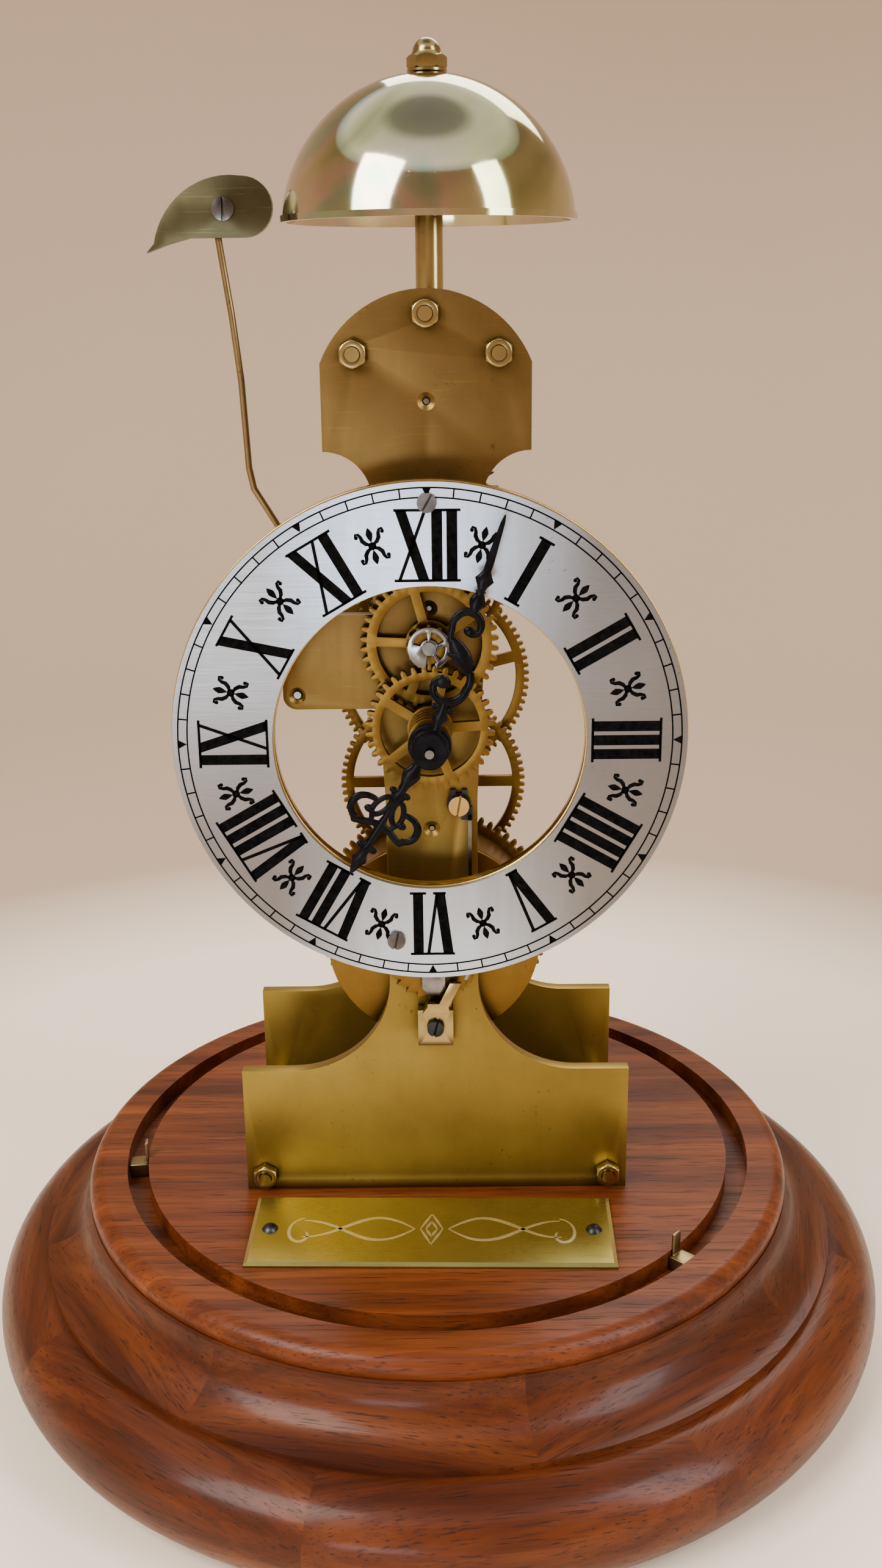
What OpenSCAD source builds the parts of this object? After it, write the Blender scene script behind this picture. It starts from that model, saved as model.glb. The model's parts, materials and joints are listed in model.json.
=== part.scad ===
// Skeleton clock: a brass going train with a passing strike on a bell,
// a silvered skeleton dial, and a turned walnut base grooved for a glass dome.
// Front is -Y, +Z is up, and the origin is the middle of the underside of the base.

/* [Base] */
// Height of the wooden base without its felt
wood_h = 44.4; // [42:0.1:47]
// Thickness of the felt under the base
felt_t = 1; // [0.5:0.1:1.5]
// Largest radius of the base, at its half-round foot
base_r = 111.9; // [110:0.1:115]
// Radius of the half-round foot's section
foot_round = 12.4; // [12:0.1:12.4]
// Radius of the top board
board_r = 88.2; // [86:0.1:90]
// Thickness of the top board
board_t = 5.2; // [5:0.1:6]
// Inner radius of the groove for the glass dome
groove_in_r = 73.6; // [72:0.1:74]
// Outer radius of the groove for the glass dome
groove_out_r = 78.8; // [78:0.1:80]
// Depth of the groove for the glass dome
groove_deep = 4.8; // [4:0.1:4.9]

/* [Frame] */
// Front face of the front plate
plate_front = -24; // [-26:0.5:-23]
// Thickness of both plates
plate_t = 3; // [2:0.1:3]
// Gap between the plates
plate_gap = 41; // [41:0.5:43]
// Half the width of the plates' foot
foot_w = 46; // [44:0.5:48]
// Height of the plates' foot
foot_h = 32; // [30:0.5:33]
// Half the width of the plates' column
column_w = 10.3; // [10:0.1:11]
// Half the width of the plates' head
head_w = 21.9; // [21.5:0.1:23]
// Top of the plates' head
head_top = 209.2; // [208:0.1:210]

/* [Dial and bell] */
// Radius of the silvered dial
dial_r = 54.3; // [52:0.1:55]
// Radius of the opening in the dial
dial_open_r = 33.2; // [32:0.1:34]
// Front face of the dial
dial_front = -40.3; // [-41:0.1:-40]
// Radius of the bell at its rim
bell_r = 31.6; // [30:0.1:31.7]
// Height of the bell
bell_h = 29.4; // [28:0.1:30]
// Height of the bell's rim above the base
bell_rim = 222.7; // [222:0.1:225]
// Length of the minute hand
minute_len = 50.7; // [46:0.1:51]
// Length of the hour hand
hour_len = 33.6; // [30:0.1:35]

/* [Train] */
// Height of the barrel arbor above the base
barrel_z = 62; // [62:0.1:62]
// Height of the centre arbor above the base
centre_z = 118; // [118:0.1:118]
// Distance from the centre arbor to its neighbours in the train
train_step = 25.2; // [25.2:0.1:25.2]
// Distance from the centre arbor to the minute wheel's post
motion_step = 18; // [18:0.1:18]
// Height of the pallet arbor above the base
pallet_z = 186.8; // [186:0.1:187.5]

/* [Hidden] */
$fn = 64;
e = 0.1;                                   // how far a cutter passes a face
base_h = wood_h + felt_t;                  // top of the base
plate_back = plate_front + plate_t;        // inner face of the front plate
rear_front = plate_back + plate_gap;       // inner face of the rear plate
rear_back = rear_front + plate_t;          // outer face of the rear plate
middle_y = (plate_back + rear_front) / 2;  // halfway between the plates

// Wheel teeth, pinion leaves and modules
great_n = 72;   great_m = 0.77;   drive_n = 8;
second_n = 74;  train_m = 0.6;    centre_n = 10;
main_n = 78;    third_n = 6;
third_w_n = 80; escape_m = 0.45;  escape_n = 7;
cannon_n = 10;  minute_n = 40;    minute_m = 0.72;
follow_n = 12;  hour_n = 36;      hour_m = 0.75;
scape_teeth = 30;
scape_r = 16.2;
second_z = centre_z - train_step;          // intermediate arbor
third_z = centre_z + train_step;           // third arbor
escape_z = third_z + escape_m * (third_w_n + escape_n) / 2;
motion_z = centre_z + motion_step;         // minute wheel's post

// Where each wheel's rear face stands, front to back
great_y = -1.6;
second_y = 12.4;
main_y = 17.9;
third_y = 10.2;
scape_y = 2.4;
minute_y = -25;
hour_y = -28.6;
cam_y = -13;

// Pillars: the upper three and the lower two
upper_at = [[0, 204.3], [-15, 196.4], [15, 196.4]];
upper_r = 3.2;
lower_x = 41.5;
lower_r = 4.2;
stud_r = 1.5;
nut_t = 2.4;
nut_af = 5.5;

// Barrel and winding work
drum_r = 25;
drum_wall = 1.2;
drum_front = -17;
arbor_r = 2.5;
ratchet_r = 11;
ratchet_n = 24;
ratchet_y = plate_front - 0.4;
click_at = [0.3, 44.8];
spring_screw_at = [6.1, 98.8];

// Dial fixing
dial_t = 1;
backing_t = 3;
backing_y = dial_front + dial_t + backing_t;
dial_post_at = [[0, 168.1], [-7.9, 72.8]];
dial_post_r = 2.1;
dial_screw_r = 1.1;

// Hammer
hammer_at = [-29.2, 124.1];
hammer_y = middle_y;
head_screw_at = [-43.1, 225.7];
lift_r = 9;                                // radius of the lifting pin's circle

// Pendulum
hang_y = 34;
bob_z = 27.5;
bob_r = 16;
bob_t = 8;

// ---- Shared shapes ----

// Lifts a child from the top of the base
module above() { translate([0, 0, base_h]) children(); }

// A flat outline drawn as seen from the front, with its rear face at y and thickness t
module facing(y, t, at = [0, 0]) {
  translate([at[0], y, base_h + at[1]]) rotate([90, 0, 0]) linear_extrude(t) children();
}

// A round bar along Y from y_front back to y_back
module bar(r, y_front, y_back, at = [0, 0]) {
  translate([at[0], y_back, base_h + at[1]]) rotate([90, 0, 0]) cylinder(r = r, h = y_back - y_front);
}

// A cone along Y, radius r_front at y_front and r_back at y_back
module cone(r_front, r_back, y_front, y_back, at = [0, 0]) {
  translate([at[0], y_back, base_h + at[1]]) rotate([90, 0, 0])
    cylinder(r1 = r_back, r2 = r_front, h = y_back - y_front);
}

function polar(r, a) = [r * cos(a), r * sin(a)];

// A wheel tooth: radial flanks and an ogive tip, as [radius, angle] pairs
function tooth(r, m, pitch) = [
  [r - 1.15 * m, -0.26], [r, -0.235], [r + 0.5 * m, -0.18], [r + 0.86 * m, -0.08],
  [r + 0.86 * m, 0.08], [r + 0.5 * m, 0.18], [r, 0.235], [r - 1.15 * m, 0.26]
];

// A pinion leaf: a thin radial leg with a half-round tip
function leaf(r, m, pitch) = [
  [r - 1.2 * m, -0.2], [r, -0.185], [r + 0.38 * m, -0.14], [r + 0.62 * m, -0.05],
  [r + 0.62 * m, 0.05], [r + 0.38 * m, 0.14], [r, 0.185], [r - 1.2 * m, 0.2]
];

// Outline of a toothed wheel whose first tooth points at angle first
module toothed(n, shape, first) {
  pitch = 360 / n;
  polygon([for (i = [0 : n - 1]) for (p = shape) polar(p[0], first + (i + p[1]) * pitch)]);
}

module wheel_2d(n, m, first = 90) { toothed(n, tooth(n * m / 2, m), first); }
module pinion_2d(n, m, first = 90) { toothed(n, leaf(n * m / 2, m), first); }

// The windows between a wheel's rim, hub and spokes
module windows_2d(rim, hub, spokes, spoke_w, turn) {
  difference() {
    circle(rim);
    circle(hub);
    for (i = [0 : spokes - 1])
      rotate(turn + i * 360 / spokes) translate([0, -spoke_w / 2]) square([rim + 1, spoke_w]);
  }
}

// A crossed-out train wheel with a bore
module train_wheel(n, m, y, t, z, rim, hub, spokes, spoke_w, turn, bore) {
  facing(y, t, [0, z]) difference() {
    wheel_2d(n, m);
    windows_2d(rim, hub, spokes, spoke_w, turn);
    circle(bore);
  }
}

// A hexagonal nut along Y with its seat at y, facing the front (side = 1) or the rear (-1)
module hex_nut(at, y, side) {
  translate([at[0], y, base_h + at[1]]) rotate([90 * side, 0, 0]) difference() {
    intersection() {
      rotate(30) cylinder(r = nut_af / sqrt(3), h = nut_t, $fn = 6);
      union() {
        cylinder(r = nut_af, h = nut_t - 0.45);
        translate([0, 0, nut_t - 0.45]) cylinder(r1 = nut_af / sqrt(3), r2 = nut_af / 2 - 0.15, h = 0.45);
      }
    }
    translate([0, 0, -e]) cylinder(r = stud_r, h = nut_t + 2 * e);
  }
}

// A slotted screw along Y: its head stands in front of y, its shank runs back
module slotted(at, y, head_r, head_t, shank_r, shank_l, turn) {
  difference() {
    union() {
      bar(head_r, y - head_t, y, at);
      bar(shank_r, y, y + shank_l, at);
    }
    facing(y - head_t * 0.4, head_t, at) rotate(turn) square([2 * head_r + 1, 0.45], center = true);
  }
}

// ---- Base ----

// Grooved top board with a rounded edge
module base_board() color("sienna") above() {
  edge = 3.6;
  difference() {
    rotate_extrude($fn = 128) difference() {
      union() {
        translate([0, -board_t]) square([board_r - edge, board_t]);
        intersection() {
          translate([board_r - edge, -edge]) circle(edge);
          translate([0, -board_t]) square([board_r, board_t]);
        }
      }
      translate([groove_in_r, -groove_deep]) square([groove_out_r - groove_in_r, groove_deep + e]);
    }
    for (x = [-lower_x, lower_x])
      translate([x, middle_y, -board_t - e]) cylinder(r = 2.5, h = board_t + 2 * e);
    for (p = nameplate_screw_at)
      translate([p[0], p[1], -4]) cylinder(r = 0.9, h = 4 + e);
  }
}

// Segmented lower part: a cove over a half-round foot
module base_block() color("saddlebrown") above() {
  ring_r = base_r - foot_round;
  cove_r = ring_r - board_r;
  round_z = foot_round - wood_h;
  difference() {
    rotate_extrude($fn = 128) difference() {
      union() {
        translate([0, -wood_h]) square([ring_r, wood_h - board_t]);
        translate([ring_r, round_z]) circle(foot_round);
      }
      translate([ring_r, -board_t - 1]) circle(cove_r);
      translate([ring_r - cove_r, -board_t - 1]) square([2 * cove_r, cove_r]);
    }
    for (x = [-lower_x, lower_x]) {
      translate([x, middle_y, -wood_h]) cylinder(r = 2.5, h = wood_h);
      translate([x, middle_y, -wood_h - e]) cylinder(r = 5, h = wood_h - 20 + e);
    }
  }
}

// Felt under the base
module base_felt() color("darkgreen") difference() {
  cylinder(r = base_r - foot_round - 2, h = felt_t);
  for (x = [-lower_x, lower_x]) translate([x, middle_y, -e]) cylinder(r = 6, h = felt_t + 2 * e);
}

// Two long screws that hold the frame down through its lower pillars
module frame_screws() color("dimgray") above() for (x = [-lower_x, lower_x])
  translate([x, middle_y, 0]) difference() {
    union() {
      translate([0, 0, -20]) cylinder(r = 2.5, h = 20 + lower_r + 1.5);
      translate([0, 0, -23]) cylinder(r = 4.4, h = 3);
    }
    translate([-5, -0.5, -23 - e]) cube([10, 1, 1.2]);
  }

nameplate_turn = -1.1;
nameplate_mid = [-1.1, -43.2];
nameplate_size = [84.2, 27.5, 1.1];
nameplate_screw_at = [for (s = [-1, 1])
  nameplate_mid + [s * 37.6 * cos(nameplate_turn), s * 37.6 * sin(nameplate_turn)]];

// Brass plate on the base, in front of the frame
module nameplate() color("khaki") above() difference() {
  translate([nameplate_mid[0], nameplate_mid[1], 0]) rotate(nameplate_turn)
    translate([-nameplate_size[0] / 2, -nameplate_size[1] / 2, 0]) cube(nameplate_size);
  for (p = nameplate_screw_at) translate([p[0], p[1], -e]) cylinder(r = 0.9, h = 2);
}

module nameplate_screws() color("dimgray") above() for (p = nameplate_screw_at)
  translate([p[0], p[1], 0]) {
    translate([0, 0, -3.8]) cylinder(r = 0.9, h = 5);
    translate([0, 0, nameplate_size[2]]) intersection() {
      cylinder(r = 2, h = 1.2);
      translate([0, 0, -0.9]) sphere(2.1);
    }
  }

// Two brass tabs in the groove, which keep the dome from turning
module dome_tabs() color("peru") above() for (a = [-173.5, -42.4])
  rotate(a) translate([groove_in_r, 0, -groove_deep]) {
    translate([0, -2.2, 0]) cube([groove_out_r - groove_in_r - 0.4, 4.4, groove_deep - 1.2]);
    translate([0, -1.3, 0]) cube([0.8, 2.6, groove_deep + 4.2]);
  }

// ---- Frame ----

// Outline shared by both plates: foot, flared column, wing for the hammer arbor and head
module plate_2d() {
  flare_r = 23.3;
  flare_z = foot_h + flare_r;
  neck_z = 166.5;
  chin_r = 10.2;
  head_z = neck_z + chin_r;
  arch_r = 23.7;
  wing = [-32.3, 121];
  wing_size = [22, 21];
  corner = 3;
  translate([-foot_w, 0]) square([2 * foot_w, foot_h]);
  difference() {
    translate([-column_w - flare_r, foot_h - e]) square([2 * (column_w + flare_r), flare_r + e]);
    for (s = [-1, 1]) translate([s * (column_w + flare_r), flare_z]) circle(flare_r);
  }
  polygon([[-column_w, flare_z - e], [column_w, flare_z - e], [column_w, 100],
    [12.2, 138], [11.7, neck_z + e],
    [-11.7, neck_z + e], [-12.2, 138], [-column_w, 100]]);
  difference() {
    translate([-head_w, neck_z]) square([2 * head_w, chin_r + e]);
    for (s = [-1, 1]) translate([s * head_w, neck_z]) circle(chin_r);
  }
  intersection() {
    translate([-head_w, head_z]) square([2 * head_w, head_top - head_z]);
    translate([0, head_top - arch_r]) circle(arch_r);
  }
  difference() {
    translate(wing) square(wing_size);
    translate(wing - [e, e]) square([corner + e, corner + e]);
    translate([wing[0] - e, wing[1] + wing_size[1] - corner]) square([corner + e, corner + e]);
  }
  for (z = [wing[1] + corner, wing[1] + wing_size[1] - corner])
    translate([wing[0] + corner, z]) circle(corner);
}

// Holes that both plates share
module plate_holes(y) {
  for (p = upper_at) bar(stud_r, y - e, y + plate_t + e, p);
  for (x = [-lower_x, lower_x]) bar(stud_r, y - e, y + plate_t + e, [x, lower_r]);
  for (z = [second_z, third_z, escape_z]) bar(0.55, y - e, y + plate_t + e, [0, z]);
  bar(arbor_r + 0.05, y - e, y + plate_t + e, [0, barrel_z]);
  bar(0.85, y - e, y + plate_t + e, hammer_at);
}

module front_plate() color("goldenrod") difference() {
  facing(plate_back, plate_t) plate_2d();
  plate_holes(plate_front);
  bar(1.9, plate_front - e, plate_back + e, [0, centre_z]);
  bar(0.65, plate_front - e, plate_back + e, [0, pallet_z]);
  for (p = dial_post_at) bar(1.4, plate_front - e, plate_back + e, p);
  bar(1.4, plate_front - e, plate_back + e, [0, motion_z]);
  bar(1.1, plate_front - e, plate_back + e, click_at);
  bar(1.1, plate_front - e, plate_back + e, spring_screw_at);
  for (z = [second_z, third_z, escape_z, pallet_z])
    cone(1.9, 0.6, plate_front - 0.01, plate_front + 0.8, [0, z]);
  cone(1.9, 0.9, plate_front - 0.01, plate_front + 0.8, hammer_at);
}

module rear_plate() color("goldenrod") difference() {
  facing(rear_back, plate_t) plate_2d();
  plate_holes(rear_front);
  bar(0.85, rear_front - e, rear_back + e, [0, centre_z]);
  bar(2, rear_front - e, rear_back + e, [0, pallet_z]);
  for (p = cock_screw_at) bar(1.1, rear_front - e, rear_back + e, p);
}

module upper_pillars() color("gold") {
  for (p = upper_at) difference() {
    union() {
      bar(upper_r, plate_back, rear_front, p);
      bar(stud_r, plate_front - nut_t - 0.7, rear_back + nut_t + 0.7, p);
    }
    if (p[0] == 0) translate([bell_x, middle_y, base_h + p[1] - 2]) cylinder(r = 1.5, h = 2 * upper_r);
  }
}

module lower_pillars() color("gold") {
  for (x = [-lower_x, lower_x]) difference() {
    union() {
      bar(lower_r, plate_back, rear_front, [x, lower_r]);
      bar(stud_r, plate_front - nut_t - 0.7, rear_back + nut_t + 0.7, [x, lower_r]);
    }
    translate([x, middle_y, base_h - e]) cylinder(r = 2.5, h = lower_r + 1.6 + e);
  }
}

module plate_nuts() color("goldenrod")
  for (p = concat(upper_at, [[-lower_x, lower_r], [lower_x, lower_r]])) {
    hex_nut(p, plate_front, 1);
    hex_nut(p, rear_back, -1);
  }

// ---- Bell ----

bell_t = 1.2;
// the bell's axis stands slightly to the right of the pillar's
bell_x = 0.8;
bell_sphere = (bell_r * bell_r + bell_h * bell_h) / (2 * bell_h);
bell_top = bell_rim + bell_h;

module bell_post() color("goldenrod") translate([bell_x, middle_y, base_h]) difference() {
  union() {
    translate([0, 0, upper_at[0][1]]) cylinder(r = 3, h = bell_top - bell_t - upper_at[0][1] - 0.2);
    translate([0, 0, bell_top - bell_t - 1]) cylinder(r = 2.4, h = bell_t + 4.8);
    translate([0, 0, upper_at[0][1] - 1.9]) cylinder(r = 1.5, h = 4);
  }
  difference() {
    translate([-bell_x, plate_gap / 2, upper_at[0][1]]) rotate([90, 0, 0])
      cylinder(r = upper_r, h = plate_gap);
    translate([0, 0, upper_at[0][1] - 2]) cylinder(r = 1.5, h = 10);
  }
}

// Thin cup: part of a sphere with a bead at its rim
module bell() color("palegoldenrod") translate([bell_x, middle_y, base_h + bell_rim])
  rotate_extrude($fn = 128) difference() {
    union() {
      intersection() {
        translate([0, bell_h - bell_sphere]) circle(bell_sphere);
        square([bell_r + 1, bell_h]);
      }
      translate([bell_r - 1.1, 0]) square([1.4, 1.3]);
    }
    translate([0, bell_h - bell_sphere]) circle(bell_sphere - bell_t);
    translate([-1, -1]) square([bell_r - 1, 1]);
    translate([-0.01, bell_h - 3]) square([2.45, 5]);
  }

module bell_washer() color("goldenrod") translate([bell_x, middle_y, base_h + bell_top]) difference() {
  cylinder(r = 4.2, h = 0.5);
  translate([0, 0, -e]) cylinder(r = 2.45, h = 1);
}

// Domed nut on top of the bell
module bell_nut() color("goldenrod") translate([bell_x, middle_y, base_h + bell_top + 0.5]) difference() {
  union() {
    intersection() {
      cylinder(r = 4.25, h = 2.7, $fn = 6);
      rotate_extrude() polygon([[0, 0], [3.8, 0], [4.3, 0.5], [4.3, 2.2], [3.7, 2.7], [0, 2.7]]);
    }
    translate([0, 0, 2.7]) cylinder(r1 = 3.4, r2 = 3, h = 0.8);
    translate([0, 0, 3.5]) intersection() {
      translate([0, 0, -0.4]) sphere(3.03);
      cylinder(r = 4, h = 4);
    }
  }
  translate([0, 0, -e]) cylinder(r = 2.4, h = 3.5);
}

// ---- Dial ----

module dial_backing() color("goldenrod") facing(backing_y, backing_t, [0, centre_z]) difference() {
  circle(dial_r + 0.3, $fn = 128);
  circle(dial_open_r - 0.3, $fn = 128);
  for (p = dial_post_at) translate(p - [0, centre_z]) circle(dial_screw_r);
}

module dial_plate() color("silver") facing(dial_front + dial_t, dial_t, [0, centre_z]) difference() {
  circle(dial_r, $fn = 128);
  circle(dial_open_r, $fn = 128);
  for (p = dial_post_at) translate(p - [0, centre_z]) circle(dial_screw_r);
}

module dial_posts() color("goldenrod") for (p = dial_post_at) difference() {
  union() {
    bar(dial_post_r, backing_y, plate_front, p);
    bar(1.4, plate_front, plate_back, p);
  }
  bar(dial_screw_r, backing_y - e, backing_y + 5, p);
}

module dial_screws() color("gainsboro")
  for (i = [0, 1]) slotted(dial_post_at[i], dial_front, 2, 0.9, dial_screw_r, 8, [60, 78][i]);

// ---- Motion work ----

// Stud for the minute wheel, grooved for its clip
module minute_wheel_post() color("silver") difference() {
  union() {
    bar(2.6, plate_front - 0.7, plate_front, [0, motion_z]);
    bar(1.45, plate_front - 7.6, plate_front, [0, motion_z]);
    bar(1.4, plate_front, plate_back, [0, motion_z]);
  }
  difference() {
    bar(2, plate_front - 7.1, plate_front - 6.7, [0, motion_z]);
    bar(1.1, plate_front - 8, plate_front - 6, [0, motion_z]);
  }
}

// A wedge from angle a to angle b, out to radius r
module wedge_2d(r, a, b) { polygon([[0, 0], polar(r, a), polar(r, (a + b) / 2), polar(r, b)]); }

// Spring clip: a disc with curved windows, and a mouth at its foot that slips over the post
module post_clip() color("silver") facing(plate_front - 6.7, 0.4, [0, motion_z]) difference() {
  circle(4.6);
  circle(1.1);
  difference() {
    circle(3.5);
    circle(1.95);
    for (a = [[-62, -48], [8, 24], [82, 98], [164, 260]]) wedge_2d(6, a[0], a[1]);
  }
  wedge_2d(7, -100, -70);
}

module minute_motion() color("goldenrod") difference() {
  union() {
    facing(minute_y, 1.5, [0, motion_z]) difference() {
      wheel_2d(minute_n, minute_m, -90 + 180 / minute_n);
      windows_2d(11.4, 5.2, 5, 2.1, 33);
    }
    facing(minute_y, 5.4, [0, motion_z]) pinion_2d(follow_n, hour_m, -90);
  }
  bar(1.5, minute_y - 6, minute_y + e, [0, motion_z]);
}

// Hour wheel with its long grooved pipe, one piece as turned and riveted
module hour_motion() color("goldenrod") difference() {
  union() {
    facing(hour_y, 1.5, [0, centre_z]) difference() {
      wheel_2d(hour_n, hour_m, 90 + 180 / hour_n);
      windows_2d(10.9, 5, 5, 2.1, 3);
    }
    bar(4.2, hour_y - 10, hour_y, [0, centre_z]);
    for (i = [0 : 3]) bar(4.6, hour_y - 3.4 - 2.2 * i, hour_y - 1.9 - 2.2 * i, [0, centre_z]);
    bar(3.2, hour_y - 15, hour_y, [0, centre_z]);
  }
  bar(2.25, hour_y - 16, hour_y + e, [0, centre_z]);
}

cannon_front = -47.6;
module cannon_pinion() color("goldenrod") difference() {
  union() {
    facing(-24.9, 2.7, [0, centre_z]) pinion_2d(cannon_n, minute_m, 90);
    bar(2.2, -44.2, -27.6, [0, centre_z]);
    bar(1.6, cannon_front, -44.2, [0, centre_z]);
  }
  bar(1, cannon_front - e, -24, [0, centre_z]);
}

// A ring cut from flat stock
module ring_2d(r, w) { difference() { circle(r + w / 2, $fn = 32); circle(r - w / 2, $fn = 32); } }

// Scrolled hour hand with a spade point, drawn pointing up
module hour_hand_2d() {
  len = hour_len;
  polygon([[-1.6, 4], [1.6, 4], [0.8, 7], [1.9, 9.6], [0.7, 12.6], [-0.7, 12.6], [-1.9, 9.6], [-0.8, 7]]);
  for (s = [-1, 1]) {
    translate([s * 4.2, 15]) ring_2d(2.9, 0.9);
    translate([s * 1.9, 19]) ring_2d(1.9, 0.8);
  }
  polygon([[-0.9, 12], [0.9, 12], [1.2, 24], [0.7, 27], [0.9, len - 4], [0, len], [-0.9, len - 4], [-0.7, 27], [-1.2, 24]]);
}

// Scrolled minute hand, drawn pointing up
module minute_hand_2d() {
  len = minute_len;
  polygon([[-1.4, 3], [1.4, 3], [0.9, 8], [0.9, 30], [1.5, 33], [0.8, 37], [1.3, 39.4], [0, len], [-1.3, 39.4],
    [-0.8, 37], [-1.5, 33], [-0.9, 30], [-0.9, 8]]);
  translate([1.1, 14]) ring_2d(3.4, 1);
  translate([-1.1, 25]) ring_2d(3.2, 1);
}

hour_turn = -211.5;
minute_turn = -18;
module hour_hand() color("black") {
  facing(-42.6, 1, [0, centre_z]) difference() {
    rotate(hour_turn) hour_hand_2d();
    circle(4);
  }
  facing(-42, 1.8, [0, centre_z]) difference() { circle(4.6); circle(3.2); }
}

module minute_hand() color("black") {
  facing(-45.1, 0.8, [0, centre_z]) difference() {
    rotate(minute_turn) minute_hand_2d();
    circle(3);
  }
  facing(-44.3, 1.7, [0, centre_z]) difference() { circle(3.4); circle(1.6); }
  // knurled nut that clamps the hand
  facing(-46, 2.4, [0, centre_z]) difference() {
    circle(4);
    circle(1.6);
    for (i = [0 : 29]) rotate(i * 12) translate([4, 0]) circle(0.16, $fn = 8);
  }
}

// ---- Barrel and winding work ----

module barrel_drum() color("goldenrod") facing(great_y - 1.5, great_y - 1.5 - drum_front - drum_wall, [0, barrel_z])
  difference() { circle(drum_r, $fn = 128); circle(drum_r - drum_wall, $fn = 128); }

module barrel_cover() color("goldenrod") facing(drum_front + drum_wall, drum_wall, [0, barrel_z])
  difference() { circle(drum_r, $fn = 128); circle(arbor_r + 0.05); }

module great_wheel() color("goldenrod") facing(great_y, 1.5, [0, barrel_z]) difference() {
  wheel_2d(great_n, great_m);
  circle(arbor_r + 0.05);
}

// Mainspring, wound loosely from the arbor to the drum
spring_turns = 7;
spring_steps = 20;
spring_in = 5.2;
spring_out = drum_r - drum_wall - 0.5;
function coil(i) = spring_in + (spring_out - spring_in) * i / (spring_turns * spring_steps);

module mainspring() color("slategray") facing(great_y - 2.1, 11.6, [0, barrel_z]) polygon(concat(
  [for (i = [0 : spring_turns * spring_steps]) polar(coil(i), i * 360 / spring_steps)],
  [for (i = [spring_turns * spring_steps : -1 : 0]) polar(coil(i) - 0.5, i * 360 / spring_steps)]));

// Winding arbor: a hub inside the barrel, a seat for the ratchet and a square at the rear
module barrel_arbor() color("lightsteelblue") {
  bar(arbor_r, plate_front - 3.6, rear_back + 0.6, [0, barrel_z]);
  bar(4.6, drum_front + drum_wall + 0.3, great_y - 1.8, [0, barrel_z]);
  bar(4, great_y + 0.4, rear_front - 0.4, [0, barrel_z]);
  facing(rear_back + 13, 13, [0, barrel_z]) square(3.5, center = true);
}

module ratchet_wheel() color("darkgoldenrod") facing(ratchet_y, 1.5, [0, barrel_z]) difference() {
  step = 360 / ratchet_n;
  polygon([for (i = [0 : ratchet_n - 1]) for (p = [[9.5, 0], [ratchet_r, 0.08], [9.5, 0.95]])
    polar(p[0], -68 + (i + p[1]) * step)]);
  circle(arbor_r);
}

// Steel keeper pinned across the front of the winding arbor
module ratchet_keeper() color("lightslategray") facing(ratchet_y - 1.6, 1.2, [0, barrel_z]) difference() {
  union() {
    circle(4);
    polygon([[-2.7, 0], [-2.7, -7.4], [-1.2, -9], [1.2, -9], [2.7, -7.4], [2.7, 0]]);
  }
  circle(arbor_r);
}

// Click: a block on a shouldered screw, with a neck, a beak in the ratchet and an arm for
// its spring. The arm passes in front of the keeper.
click_t = 3.2;
arm_y = plate_front - 3.45;
module click() color("khaki") difference() {
  union() {
    facing(plate_front - 0.1, click_t, click_at) translate([-4.1, -4.6]) square([8.2, 9]);
    facing(plate_front - 0.1, 4.45, click_at)
      polygon([[-3, 4.1], [3.4, 4.1], [3, 5.8], [-1.8, 5.8]]);
    facing(arm_y, 1.1, click_at)
      polygon([[-1.8, 5.7], [3, 5.7], [6, 11.8], [3.4, 11.8], [0.9, 6.6], [-1.8, 6.6]]);
    facing(ratchet_y, 1.5, click_at) polygon([[1.2, 4.2], [3.6, 4.2], [4, 7], [3.5, 6.7], [2.6, 5.8]]);
  }
  bar(1.15, plate_front - 5, plate_front + e, click_at);
}

module click_screw() color("black") slotted(click_at, plate_front - 3.4, 1.9, 1, 1.1, 6.4, 75);

// Long wire spring from the clamp down to the click's tail
module click_spring() color("lightslategray") {
  facing(arm_y, 0.8) polygon([[8.1, 96.2], [8.9, 96.2], [8.9, 60], [7.6, 57.2], [7, 57.6], [8.1, 60.2]]);
  facing(plate_front - 0.8, plate_front - arm_y) translate([8.1, 95.4]) square([0.8, 0.8]);
}

// Dark round clamp under the spring's screw, with two ears above and a tab for the spring
module spring_clamp() color("black") facing(plate_front, 0.8) difference() {
  union() {
    translate(spring_screw_at) circle(2.65);
    for (x = [-1.9, 0.7]) translate(spring_screw_at + [x, 1.6]) square([1.2, 1.9]);
    translate([6.6, 95.2]) square([2.5, 3]);
  }
  translate(spring_screw_at) circle(1.1);
}

module spring_screw() color("gold") slotted(spring_screw_at, plate_front - 0.8, 2.3, 1.5, 1.1, 3.6, 80);

// ---- Going train ----

module intermediate_arbor() color("lightsteelblue") {
  at = [0, second_z];
  bar(0.5, plate_front + 0.5, rear_back - 0.3, at);
  bar(1.2, plate_back + 0.4, 13.6, at);
  bar(0.8, 13, rear_front - 0.4, at);
  facing(1.5, 7, at) pinion_2d(drive_n, great_m, -90 + 180 / drive_n);
  bar(2.6, 9, 11, at);
}

module intermediate_wheel() color("goldenrod")
  train_wheel(second_n, train_m, second_y, 1.4, second_z, 19.6, 4.6, 4, 2.6, 0, 1.2);

module centre_arbor() color("lightsteelblue") {
  at = [0, centre_z];
  bar(0.95, -49.8, plate_front, at);
  bar(1.85, plate_front - 0.5, plate_back + 1, at);
  bar(1.6, plate_back, rear_front - 0.4, at);
  bar(0.8, rear_front - 1, rear_back - 0.3, at);
  facing(14.4, 5.6, at) pinion_2d(centre_n, train_m, -90 + 180 / centre_n);
  bar(2.9, 14.4, 16.4, at);
}

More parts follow.
